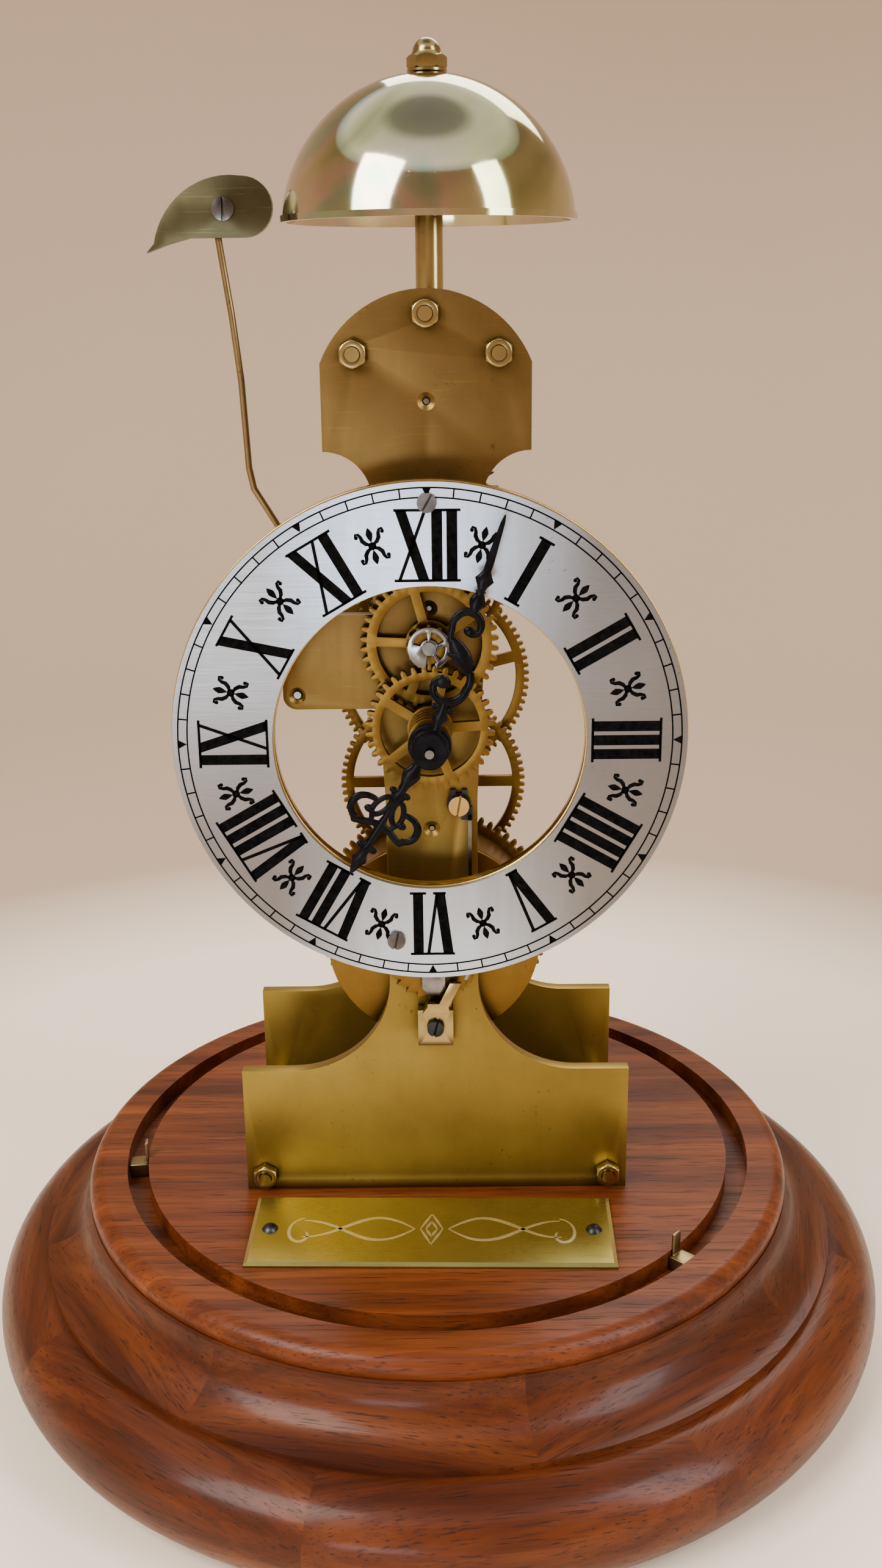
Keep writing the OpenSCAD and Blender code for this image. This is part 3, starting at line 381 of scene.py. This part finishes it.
# Which finish each CAD node takes
FINISH = {
    "board": ["base_board"],
    "ring": ["base_block"],
    "felt": ["base_felt"],
    "plate": ["front_plate", "rear_plate"],
    "aged": ["upper_pillars", "lower_pillars", "bell_post", "bell_washer", "bell_nut", "click",
             "back_cock", "crutch", "pendulum_rod", "dial_posts", "plate_nuts"],
    "bright": ["dial_backing", "spring_screw", "pendulum_bob"],
    "wheel": ["ratchet_wheel", "barrel_drum", "barrel_cover", "great_wheel",
              "intermediate_wheel", "centre_wheel", "lifting_arm", "third_wheel",
              "escape_wheel", "cannon_pinion", "hour_motion", "minute_motion"],
    "bell": ["bell"],
    "silver": ["dial_plate"],
    "steel": ["minute_wheel_post", "post_clip", "click_spring", "suspension_spring",
              "barrel_arbor", "ratchet_keeper", "intermediate_arbor", "centre_arbor",
              "third_arbor", "escape_arbor", "pallet_arbor", "pallets", "hammer_arbor",
              "hammer_spring", "mainspring"],
    "turned": ["frame_screws", "dial_screws", "cock_screws"],
    "blued": ["nameplate_screws", "click_screw", "spring_clamp"],
    "black": ["minute_hand", "hour_hand"],
    "nameplate": ["nameplate"],
    "hammer": ["hammer_head"],
    "wire": ["hammer_stem", "dome_tabs"],
}
NODE_FINISH = {node: finish for finish, nodes in FINISH.items() for node in nodes}
SLOTS = {entry["node"]: entry["material_slot"] for entry in frame["record"]["subparts"]}
BODY = {node: body for body, nodes in frame["record"]["behaviour"]["bodies"].items()
        for node in nodes}

for node, finish in NODE_FINISH.items():
    NODES[node].data.materials.clear()
    NODES[node].data.materials.append(M[finish])


# ---- Mesh helpers ----
def add_piece(name, mesh, material, body, slot, *replaced):
    """Puts a finished bmesh in the scene as one piece of the clock."""
    data = bpy.data.meshes.new(name)
    bmesh.ops.recalc_face_normals(mesh, faces=mesh.faces)
    mesh.to_mesh(data)
    mesh.free()
    data.materials.append(M[material])
    piece = bpy.data.objects.new(name, data)
    bpy.context.collection.objects.link(piece)
    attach(piece, body)
    if replaced:
        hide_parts(*replaced)
    return piece


def smooth(piece, degrees):
    """Smooth shading that stays crisp over edges sharper than the angle."""
    for polygon in piece.data.polygons:
        polygon.use_smooth = True
    piece.data.set_sharp_from_angle(angle=math.radians(degrees))


def bridge(mesh, a, b):
    """Adds the faces between two closed loops of as many vertices."""
    for i in range(len(a)):
        j = (i + 1) % len(a)
        mesh.faces.new((a[i], a[j], b[j], b[i]))


def thick_outline(mesh, front, back):
    """Adds a closed slab between two outlines of as many places."""
    loops = [[mesh.verts.new(place) for place in outline] for outline in (front, back)]
    for loop in loops:
        mesh.faces.new(loop)
    bridge(mesh, *loops)


BEVEL_STEPS = 2
BEVEL_ABOVE, CRISP_ABOVE = 28, 40     # degrees between an edge's faces
WELD_DIST, LEVEL_ANGLE = 1e-6, 0.6    # metres and degrees under which the CAD mesh is merged


def bevelled(node, width):
    """A copy of a CAD node with its sharp edges rounded over, which stands for the node."""
    mesh = bmesh.new()
    mesh.from_mesh(NODES[node].data)
    bmesh.ops.remove_doubles(mesh, verts=mesh.verts, dist=WELD_DIST)
    bmesh.ops.dissolve_limit(mesh, angle_limit=math.radians(LEVEL_ANGLE), verts=mesh.verts,
                             edges=mesh.edges)
    limit = math.radians(BEVEL_ABOVE)
    sharp = [e for e in mesh.edges if len(e.link_faces) == 2 and e.calc_face_angle(0.0) > limit]
    rounded = set(sharp)
    flat = mesh.faces.layers.int.new("flat")
    for face in mesh.faces:
        face[flat] = all(edge in rounded for edge in face.edges)
    made = bmesh.ops.bevel(mesh, geom=sharp, offset=width * MM, segments=BEVEL_STEPS,
                           profile=0.6, affect="EDGES", clamp_overlap=True, loop_slide=True)
    for face in made["faces"]:
        face[flat] = 0
    for face in mesh.faces:
        face.smooth = not face[flat]
    bmesh.ops.triangulate(mesh, faces=[f for f in mesh.faces if len(f.verts) > 4])
    piece = add_piece(node + ".finished", mesh, NODE_FINISH[node], BODY[node], SLOTS[node], node)
    piece.data.set_sharp_from_angle(angle=math.radians(CRISP_ABOVE))


# How far each node's edges are rounded over, in mm
BEVELS = {
    "front_plate": 0.3, "rear_plate": 0.3, "plate_nuts": 0.16, "click": 0.22, "hammer_head": 0.18,
    "bell_nut": 0.12, "dome_tabs": 0.25, "back_cock": 0.25, "crutch": 0.15,
    "hour_motion": 0.07, "minute_motion": 0.07, "cannon_pinion": 0.05, "intermediate_wheel": 0.06,
    "centre_wheel": 0.06, "third_wheel": 0.05, "great_wheel": 0.07, "ratchet_wheel": 0.06,
    "ratchet_keeper": 0.12, "barrel_cover": 0.2, "dial_backing": 0.12, "post_clip": 0.05,
}
for node, width in BEVELS.items():
    bevelled(node, width)

# The hammer's screw is one solid with its head, and takes its own finish
HAMMER_SCREW_T = 0.88
screw_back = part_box("hammer_head")[0][1] + HAMMER_SCREW_T * MM
head = bpy.data.objects["hammer_head.finished"].data
head.materials.append(M["turned"])
for polygon in head.polygons:
    if polygon.center.y < screw_back:
        polygon.material_index = 1


def on_dial(across, up, depth=0.0, turn=0.0):
    """A point on the dial in mm: across and up as drawn at twelve, then turned clockwise."""
    x = across * math.cos(turn) + up * math.sin(turn)
    z = up * math.cos(turn) - across * math.sin(turn)
    return Vector((DIAL.x + x * MM, DIAL_FRONT - depth * MM, DIAL.z + z * MM))


INK_FRONT, INK_BACK = 0.05, -0.02  # the print stands a little out of the dial and is sunk in it


def slab(mesh, outline, turn):
    """Adds a thin closed slab with this outline to the mesh, lying on the dial."""
    thick_outline(mesh, *([on_dial(x, y, depth, turn) for x, y in outline]
                          for depth in (INK_FRONT, INK_BACK)))


def pen_outline(points, widths):
    """The outline of a pen stroke through the points, as wide at each as stated."""
    left, right = [], []
    for i, ((x, y), width) in enumerate(zip(points, widths)):
        before, after = points[max(i - 1, 0)], points[min(i + 1, len(points) - 1)]
        dx, dy = after[0] - before[0], after[1] - before[1]
        length = math.hypot(dx, dy)
        nx, ny = -dy / length * width / 2, dx / length * width / 2
        left.append((x + nx, y + ny))
        right.append((x - nx, y - ny))
    return left + right[::-1]


def ring(mesh, outer, inner):
    """Adds a closed band between two loops of as many points, lying on the dial."""
    loops = [[mesh.verts.new(on_dial(x, y, depth)) for x, y in loop]
             for loop, depth in ((outer, INK_FRONT), (inner, INK_FRONT), (inner, INK_BACK),
                                 (outer, INK_BACK))]
    for a, b in zip(loops, loops[1:] + loops[:1]):
        bridge(mesh, a, b)


def circle_points(r, count, x=0.0, y=0.0):
    return [(x + r * math.sin(2 * math.pi * i / count), y + r * math.cos(2 * math.pi * i / count))
            for i in range(count)]


# ---- Dial printing ----
NUMERALS = ["XII", "I", "II", "III", "IIII", "V", "VI", "VII", "VIII", "IX", "X", "XI"]
NUMERAL_FOOT, NUMERAL_HEAD = 34.3, 48.6
THICK, THIN, SERIF = 2.2, 0.72, 0.55
# Each letter's width, its strokes as (foot, head, thickness), and its foot and head serifs
# as (start, end), all across from the letter's left side
GLYPHS = {
    "I": (3.05, [(1.525, 1.525, THICK)], [(-0.25, 3.3), (-0.25, 3.3)]),
    "V": (6.1, [(2.85, 1.05, THICK), (3.45, 5.45, THIN)], [(1.55, 4.35), (-0.35, 6.05)]),
    "X": (7.0, [(5.85, 1.15, THICK), (0.85, 6.15, THIN)], [(-0.2, 7.2), (-0.2, 7.2)]),
}


def draw_numeral(mesh, text, turn):
    """Heavy and hair strokes with long serifs, feet towards the centre."""
    left = -sum(GLYPHS[glyph][0] for glyph in text) / 2
    for glyph in text:
        width, strokes, serifs = GLYPHS[glyph]
        for foot, head, thickness in strokes:
            half = thickness / 2
            slab(mesh, [(left + foot - half, NUMERAL_FOOT), (left + foot + half, NUMERAL_FOOT),
                        (left + head + half, NUMERAL_HEAD), (left + head - half, NUMERAL_HEAD)],
                 turn)
        for (start, end), level in zip(serifs, (NUMERAL_FOOT, NUMERAL_HEAD)):
            low, high = level - SERIF / 2, level + SERIF / 2
            slab(mesh, [(left + start, low), (left + end, low), (left + end, high),
                        (left + start, high)], turn)
        left += width


FLEURON_UP = 42.9
BOSS_R, BERRY_R = 0.85, 0.42
BERRY = (2.75, 2.45)
BUD = [(0, 0.7), (0.5, 1.7), (0.72, 2.5), (0.45, 3.2), (0, 3.9), (-0.45, 3.2), (-0.72, 2.5),
       (-0.5, 1.7)]
LEAF = [(0.3, 0.3), (1.15, 0.75), (1.75, 1.5), (1.85, 2.3), (2.2, 3.0), (2.8, 3.1), (2.95, 2.6)]
LEAF_WIDTHS = [0.5, 0.85, 0.9, 0.75, 0.6, 0.5, 0.35]


def draw_fleuron(mesh, turn):
    """Half-hour ornament: four curled leaves and two buds round a small boss."""
    slab(mesh, circle_points(BOSS_R, 14, 0, FLEURON_UP), turn)
    for end in (-1, 1):
        slab(mesh, [(x, FLEURON_UP + end * y) for x, y in BUD], turn)
        for side in (-1, 1):
            leaf = [(side * x, FLEURON_UP + end * y) for x, y in LEAF]
            slab(mesh, pen_outline(leaf, LEAF_WIDTHS), turn)
            slab(mesh, circle_points(BERRY_R, 10, side * BERRY[0], FLEURON_UP + end * BERRY[1]),
                 turn)


TRACK_IN, TRACK_OUT, TRACK_LINE = 51.15, 53.1, 0.32
TRACK_SIDES = 240
MARK_HALF_W, MARK_GAP = 0.95, 0.1


def print_dial():
    """Numerals, half-hour ornaments and the minute track, as one thin piece."""
    mesh = bmesh.new()
    for hour, text in enumerate(NUMERALS):
        draw_numeral(mesh, text, math.radians(30 * hour))
        draw_fleuron(mesh, math.radians(30 * hour + 15))
    for radius in (TRACK_IN, TRACK_OUT):
        ring(mesh, circle_points(radius + TRACK_LINE / 2, TRACK_SIDES),
             circle_points(radius - TRACK_LINE / 2, TRACK_SIDES))
    for minute in range(60):
        if minute % 5:
            mark = pen_outline([(0, TRACK_IN), (0, TRACK_OUT)], [TRACK_LINE, TRACK_LINE])
        else:
            mark = [(0, TRACK_IN + MARK_GAP), (MARK_HALF_W, TRACK_OUT),
                    (-MARK_HALF_W, TRACK_OUT)]
        slab(mesh, mark, math.radians(6 * minute))
    add_piece("dial_print", mesh, "ink", "frame", SLOTS["dial_plate"])


print_dial()


# ---- Hands ----
HAND_WEIGHT = 1.32  # how much stouter a bar is than its drawn radius
HAND_HALF_T = 0.52
FLAT, KNOB_FLAT = 0.55, 0.62  # thickness of a bar and of a knob over their width
TUBE_SIDES = 12
SCROLL_STEP = 12  # degrees


def hand_point(along, side, deep, angle, y_mid):
    """A point in mm along the hand, to its clockwise side and in front of its middle."""
    x = along * math.sin(angle) + side * math.cos(angle)
    z = along * math.cos(angle) - side * math.sin(angle)
    return Vector((DIAL.x + x * MM, y_mid - deep * MM, DIAL.z + z * MM))


def tube(mesh, path, radii, angle, y_mid, flat=FLAT):
    """A rounded, flattened bar along (along, side) points of a hand, closed at both ends."""
    loops = []
    for i, ((u, v), radius) in enumerate(zip(path, radii)):
        before, after = path[max(i - 1, 0)], path[min(i + 1, len(path) - 1)]
        du, dv = after[0] - before[0], after[1] - before[1]
        length = math.hypot(du, dv)
        half_t = min(radius * flat * HAND_WEIGHT, HAND_HALF_T)
        loop = []
        for k in range(TUBE_SIDES):
            phi = 2 * math.pi * k / TUBE_SIDES
            across = radius * HAND_WEIGHT * math.cos(phi)
            loop.append(mesh.verts.new(hand_point(
                u - dv / length * across, v + du / length * across, half_t * math.sin(phi),
                angle, y_mid)))
        loops.append(loop)
    for a, b in zip(loops, loops[1:]):
        bridge(mesh, a, b)
    mesh.faces.new(loops[0])
    mesh.faces.new(loops[-1])


def spiral(centre, turns):
    """Points of a scroll from (degrees, radius) pairs, the angles from the hand's own line."""
    polar = []
    for (a0, r0), (a1, r1) in zip(turns, turns[1:]):
        steps = max(2, int(abs(a1 - a0) / SCROLL_STEP))
        polar += [(a0 + (a1 - a0) * i / steps, r0 + (r1 - r0) * i / steps) for i in range(steps)]
    polar.append(turns[-1])
    return [(centre[0] + r * math.cos(math.radians(a)), centre[1] + r * math.sin(math.radians(a)))
            for a, r in polar]


def tapered(count, start, middle_r, end):
    """Radii that swell from start to middle_r and fall to end."""
    half = (count - 1) / 2
    return [start + (middle_r - start) * min(i / half, 1) if i <= half
            else middle_r + (end - middle_r) * (i - half) / half for i in range(count)]


def knob(mesh, u, v, r, angle, y_mid):
    """A flattened ball."""
    steps = [math.radians(a) for a in range(-80, 81, 20)]
    tube(mesh, [(u + r * math.sin(a), v) for a in steps], [r * math.cos(a) for a in steps],
         angle, y_mid, KNOB_FLAT)


def profile(mesh, stations, angle, y_mid):
    """A turned stretch of the hand from (along, radius) pairs."""
    tube(mesh, [(u, 0.0) for u, _ in stations], [r for _, r in stations], angle, y_mid)


DISC_SIDES = 64
NOTCH_DEPTH = 0.14


def disc(mesh, y_front, y_back, r_out, r_in, edge=0.15, notches=0):
    """A flat ring round the centre arbor with eased edges and notches in its rim."""
    section = [(r_in, y_back), (r_out - edge, y_back), (r_out, y_back - edge * MM),
               (r_out, y_front + edge * MM), (r_out - edge, y_front), (r_in, y_front)]
    count = notches * 2 or DISC_SIDES
    loops = []
    for i in range(count):
        phi = 2 * math.pi * i / count
        loop = []
        for r, y in section:
            if notches and i % 2 and r == r_out:
                r -= NOTCH_DEPTH
            spot = on_dial(r * math.sin(phi), r * math.cos(phi))
            loop.append(mesh.verts.new((spot.x, y, spot.z)))
        loops.append(loop)
    for a, b in zip(loops, loops[1:] + loops[:1]):
        bridge(mesh, a, b)


MINUTE_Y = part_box("cannon_pinion")[0][1] + 2.1 * MM
HOUR_Y = middle("hour_hand").y
MINUTE_LEN, HOUR_LEN = 50.7, 33.6
MINUTE_HUB_R, MINUTE_BORE_R = 4.0, 1.62
HOUR_HUB_R, HOUR_BORE_R = 4.6, 3.22
NUT_R, NUT_BORE_R, NUT_EDGE, NUT_NOTCHES = 3.9, 1.05, 0.35, 44


def minute_hand():
    """From the hub out: collar, two open scrolls with a leaf between, and the pointer."""
    mesh = bmesh.new()
    at = (MINUTE_ANGLE, MINUTE_Y)
    profile(mesh, [(2.6, 1.0), (4.6, 0.85), (5.6, 0.7), (6.6, 1.25), (7.5, 1.2), (8.6, 0.7),
                   (10.4, 0.75)], *at)
    for side in (-1, 1):
        tube(mesh, [(8.3, 0), (8.7, side * 0.9), (9.2, side * 1.7)], [0.5, 0.45, 0.35], *at)
        knob(mesh, 9.1, side * 1.75, 0.62, *at)
    low = spiral((14.3, -0.2), [(-62, 2.0), (-95, 3.1), (-140, 3.7), (-180, 3.8), (-270, 3.6),
                                (-318, 4.9)])
    tube(mesh, low, tapered(len(low), 0.5, 0.78, 0.62), *at)
    knob(mesh, 14.5, -1.75, 1.35, *at)
    tube(mesh, [(14.9, -2.2), (15.3, -2.1), (15.6, -1.75)], [0.5, 0.5, 0.4], *at)
    # Acanthus leaf between the scrolls
    tube(mesh, [(17.6, 3.0), (19.2, 1.9), (20.8, 0.3), (22.4, -1.3), (23.6, -2.4)],
         [0.5, 1.2, 1.55, 1.25, 0.6], *at)
    for tip, r in (((18.9, -1.2), 0.6), ((20.3, -2.6), 0.65), ((19.6, 3.4), 0.55),
                   ((21.7, 1.9), 0.6)):
        half_way = ((20.6 + tip[0]) / 2 + 0.3, (0.2 + tip[1]) / 2)
        tube(mesh, [(20.6, 0.2), half_way, tip], [0.9, r, 0.22], *at)
    high = spiral((26.9, -0.4), [(-150, 4.4), (-116, 3.1), (-60, 2.9), (-15, 3.2), (56, 3.0),
                                 (105, 2.7), (150, 1.5)])
    tube(mesh, high, tapered(len(high), 0.5, 0.68, 0.42), *at)
    knob(mesh, 26.1, 0.5, 1.05, *at)
    profile(mesh, [(29.6, 0.5), (30.6, 0.7), (31.6, 1.1), (32.6, 1.25), (33.6, 0.95),
                   (34.3, 0.62), (34.6, 0.9), (34.9, 0.62), (35.6, 0.8), (37.1, 1.5),
                   (38.0, 1.0), (39.0, 0.62), (41.0, 0.64), (49.0, 0.36), (MINUTE_LEN, 0.12)],
            *at)
    disc(mesh, MINUTE_Y - 0.55 * MM, MINUTE_Y + 1.1 * MM, MINUTE_HUB_R, MINUTE_BORE_R)
    piece = add_piece("minute_hand.scrolled", mesh, "black", "minute", SLOTS["minute_hand"],
                      "minute_hand")
    smooth(piece, 50)


def minute_nut():
    mesh = bmesh.new()
    disc(mesh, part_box("minute_hand")[0][1], MINUTE_Y - 0.6 * MM, NUT_R, NUT_BORE_R, NUT_EDGE,
         NUT_NOTCHES)
    smooth(add_piece("minute_nut", mesh, "black", "minute", SLOTS["minute_hand"]), 30)


def hour_hand():
    """A turned stem with a pair of ovals and a pair of scrolls, and a pointer."""
    mesh = bmesh.new()
    at = (HOUR_ANGLE, HOUR_Y)
    profile(mesh, [(3.4, 1.0), (5.0, 0.75), (6.0, 1.0), (7.3, 1.55), (8.6, 1.3), (10.2, 0.8),
                   (11.6, 0.75), (12.4, 1.3), (13.2, 1.25), (14.2, 0.7), (18.0, 0.45),
                   (20.0, 0.7), (24.5, 0.62), (25.6, 0.8), (26.6, 1.15), (27.4, 0.7),
                   (28.2, 0.8), (29.6, 1.3), (30.6, 0.85), (32.4, 0.5), (HOUR_LEN, 0.06)], *at)
    for side in (-1, 1):
        knob(mesh, 12.3, side * 1.55, 0.72, *at)
        knob(mesh, 26.4, side * 1.45, 0.75, *at)
        oval = []
        for i in range(25):
            a = 2 * math.pi * i / 24
            oval.append((16.6 + 2.5 * math.cos(a) + 0.25 * math.sin(a),
                         side * (1.95 + 1.35 * math.sin(a) + 0.55 * math.cos(a))))
        tube(mesh, oval, [0.48] * len(oval), *at)
        turns = [(222, 3.4), (185, 2.9), (150, 2.7), (90, 2.7), (30, 2.75), (2, 3.1)]
        scroll = [(u, side * v) for u, v in spiral((18.85, 5.1), turns)]
        tube(mesh, scroll, tapered(len(scroll), 0.45, 0.68, 0.5), *at)
        tube(mesh, [(21.0, side * 6.2), (21.9, side * 5.9), (22.9, side * 5.7)],
             [0.6, 0.55, 0.12], *at)
        tube(mesh, [(22.3, side * 5.6), (21.7, side * 4.0), (21.0, side * 2.4),
                    (20.6, side * 0.6)], [0.5, 0.6, 0.6, 0.6], *at)
        tube(mesh, [(20.9, side * 2.4), (19.9, side * 2.5), (18.9, side * 3.0),
                    (18.5, side * 3.7)], [0.4, 0.45, 0.5, 0.4], *at)
        knob(mesh, 18.5, side * 3.95, 0.85, *at)
    lo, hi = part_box("hour_hand")
    disc(mesh, lo[1], hi[1], HOUR_HUB_R, HOUR_BORE_R)
    piece = add_piece("hour_hand.scrolled", mesh, "black", "hour", SLOTS["hour_hand"],
                      "hour_hand")
    smooth(piece, 50)


minute_hand()
minute_nut()
hour_hand()


# ---- Nameplate, plain but for a flourish ----
PLATE_TURN = math.radians(-1.1)
PLATE_SIZE = Vector((84.2, 27.5))
PLATE_BEVEL_W, PLATE_BEVEL_H = 0.9, 0.55
FLOURISH_W, FLOURISH_H, FLOURISH_PEN = 1.3, 1.9, 1.7  # scale across, up and of the line
LINE_FRONT, LINE_BACK = 0.03, -0.05


def plate_point(x, y, z):
    """A point in mm from the middle of the nameplate's underside."""
    centre = middle("nameplate")
    spin = Matrix.Rotation(PLATE_TURN, 3, "Z")
    return spin @ Vector((x * MM, y * MM, 0)) + Vector((centre.x, centre.y, TOP_Z + z * MM))


def nameplate(thickness):
    mesh = bmesh.new()
    w, d = PLATE_SIZE / 2
    loops = []
    for inset, z in ((0, 0), (0, thickness - PLATE_BEVEL_H), (PLATE_BEVEL_W, thickness)):
        x, y = w - inset, d - inset
        loops.append([mesh.verts.new(plate_point(*corner, z))
                      for corner in ((-x, -y), (x, -y), (x, y), (-x, y))])
    for a, b in zip(loops, loops[1:]):
        bridge(mesh, a, b)
    mesh.faces.new(loops[0])
    mesh.faces.new(loops[-1])
    add_piece("nameplate.bevelled", mesh, "nameplate", "frame", SLOTS["nameplate"], "nameplate")


def engrave(mesh, points, width, thickness):
    """Adds a bright line to the nameplate's face, fine at its ends and full in its middle."""
    last = len(points) - 1
    widths = [width * FLOURISH_PEN * (0.35 + 0.65 * math.sin(math.pi * i / last))
              for i in range(last + 1)]
    outline = pen_outline([(x * FLOURISH_W, y * FLOURISH_H) for x, y in points], widths)
    thick_outline(mesh, *([plate_point(x, y, thickness + z) for x, y in outline]
                          for z in (LINE_FRONT, LINE_BACK)))


def flourish(thickness):
    """Two nested diamonds between crossed waves that end in curls."""
    mesh = bmesh.new()
    steps = [i / 24 for i in range(25)]
    for side in (-1, 1):
        for rise in (-1, 1):
            wave = [(side * (3 + 20 * t),
                     rise * 2.6 * math.sin(math.pi * 1.5 * t) * (1 - 0.35 * t)) for t in steps]
            engrave(mesh, wave, 0.55, thickness)
        curl = [(side * (23 + (3.2 - 2.6 * t) * math.sin(5.2 * t)),
                 (3.2 - 2.6 * t) * math.cos(5.2 * t) - 1.0) for t in steps]
        engrave(mesh, curl, 0.5, thickness)
    for size in (1.0, 0.5):
        corners = [(0, 3.2 * size), (2.0 * size, 0), (0, -3.2 * size), (-2.0 * size, 0)]
        for a, b in zip(corners, corners[1:] + corners[:1]):
            engrave(mesh, [a, ((a[0] + b[0]) / 2, (a[1] + b[1]) / 2), b], 0.4, thickness)
    add_piece("nameplate_flourish", mesh, "engraved", "frame", SLOTS["nameplate"])


plate_thickness = (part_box("nameplate")[1][2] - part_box("nameplate")[0][2]) / MM
nameplate(plate_thickness)
flourish(plate_thickness)


# ---- Stage, light and camera ----
STAGE_FLAT, STAGE_BEND, STAGE_TOP = 0.62, 0.55, 1.3
STAGE_SIDES, BEND_STEPS = 96, 16


def make_stage():
    """A round floor that sweeps up into a backdrop on every side."""
    outline = [(0.2, 0.0), (0.4, 0.0)]
    for i in range(BEND_STEPS + 1):
        a = math.radians(90 * i / BEND_STEPS)
        outline.append((STAGE_FLAT + STAGE_BEND * math.sin(a), STAGE_BEND * (1 - math.cos(a))))
    outline.append((STAGE_FLAT + STAGE_BEND, STAGE_TOP))
    mesh = bmesh.new()
    around = [2 * math.pi * i / STAGE_SIDES for i in range(STAGE_SIDES)]
    loops = [[mesh.verts.new((r * math.cos(a), r * math.sin(a), z)) for a in around]
             for r, z in outline]
    hub = mesh.verts.new((0, 0, 0))
    for i in range(STAGE_SIDES):
        mesh.faces.new((hub, loops[0][i], loops[0][(i + 1) % STAGE_SIDES]))
    for inner, outer in zip(loops, loops[1:]):
        bridge(mesh, outer, inner)
    data = bpy.data.meshes.new("stage")
    mesh.to_mesh(data)
    mesh.free()
    data.materials.append(stage_paint())
    for polygon in data.polygons:
        polygon.use_smooth = True
    floor = bpy.data.objects.new("stage", data)
    bpy.context.collection.objects.link(floor)


def softbox(name, place, aim, size, power, colour):
    """An area light of this size in metres and power in watts, turned to its aim."""
    lamp = bpy.data.lights.new(name, "AREA")
    lamp.shape = "RECTANGLE"
    lamp.size, lamp.size_y = size
    lamp.energy = power
    lamp.color = colour
    box = bpy.data.objects.new(name, lamp)
    box.location = place
    box.rotation_euler = (Vector(aim) - Vector(place)).to_track_quat("-Z", "Y").to_euler()
    bpy.context.collection.objects.link(box)


# Brightness from the bottom of the sky to the top: a bright ring round a dimmer middle
SKY_STOPS = ((0.0, 0.35), (0.66, 0.45), (0.74, 1.0), (0.9, 0.8), (0.95, 0.28), (1.0, 0.22))
SKY_TINT = (1.0, 0.98, 0.95)
SKY_STRENGTH = 1.35


def make_world():
    world = bpy.context.scene.world or bpy.data.worlds.new("world")
    bpy.context.scene.world = world
    world.use_nodes = True
    tree = world.node_tree
    sky = tree.nodes["Background"]
    place = tree.nodes.new("ShaderNodeTexCoord").outputs["Generated"]
    split = tree.nodes.new("ShaderNodeSeparateXYZ")
    ramp = tree.nodes.new("ShaderNodeValToRGB")
    tree.links.new(place, split.inputs[0])
    tree.links.new(split.outputs[2], ramp.inputs[0])
    elements = ramp.color_ramp.elements
    while len(elements) < len(SKY_STOPS):
        elements.new(0.5)
    for element, (position, value) in zip(elements, SKY_STOPS):
        element.position = position
        element.color = (*(channel * value for channel in SKY_TINT), 1.0)
    tree.links.new(ramp.outputs[0], sky.inputs["Color"])
    sky.inputs["Strength"].default_value = SKY_STRENGTH


def make_lights():
    make_world()
    aim = (0, 0, 0.14)
    bell_aim = (0, 0, 0.16)
    softbox("key", (-0.55, -0.55, 0.75), aim, (0.5, 0.6), 14.5, (1.0, 0.97, 0.92))
    softbox("fill", (0.65, -0.45, 0.55), aim, (0.3, 0.7), 7.5, (0.97, 0.98, 1.0))
    softbox("back", (0.2, 0.8, 0.9), aim, (0.8, 0.4), 6.5, (1.0, 0.95, 0.88))
    softbox("low", (-0.16, -0.72, 0.06), bell_aim, (0.22, 0.1), 0.8, (0.82, 0.92, 1.0))


CAMERA_PLACE = (0.0040, -0.3532, 0.2546)
CAMERA_PITCH, CAMERA_YAW, CAMERA_ROLL = 17.81, -0.32, -0.66  # degrees down, right and over
CAMERA_LENS, SENSOR_W = 35.47, 36.0
CLIP_START = 0.02


def make_camera():
    pitch, yaw, roll = (math.radians(a) for a in (CAMERA_PITCH, CAMERA_YAW, CAMERA_ROLL))
    forward = Vector((math.sin(yaw) * math.cos(pitch), math.cos(yaw) * math.cos(pitch),
                      -math.sin(pitch)))
    level = Vector((math.cos(yaw), -math.sin(yaw), 0))
    right = level * math.cos(roll) + level.cross(forward) * math.sin(roll)
    up = right.cross(forward)
    data = bpy.data.cameras.new("camera")
    data.sensor_width = SENSOR_W
    data.lens = CAMERA_LENS
    data.clip_start = CLIP_START
    camera = bpy.data.objects.new("camera", data)
    turn = Matrix((right, up, -forward)).transposed()
    camera.matrix_world = Matrix.Translation(CAMERA_PLACE) @ turn.to_4x4()
    bpy.context.collection.objects.link(camera)
    bpy.context.scene.camera = camera


make_stage()
make_lights()
make_camera()
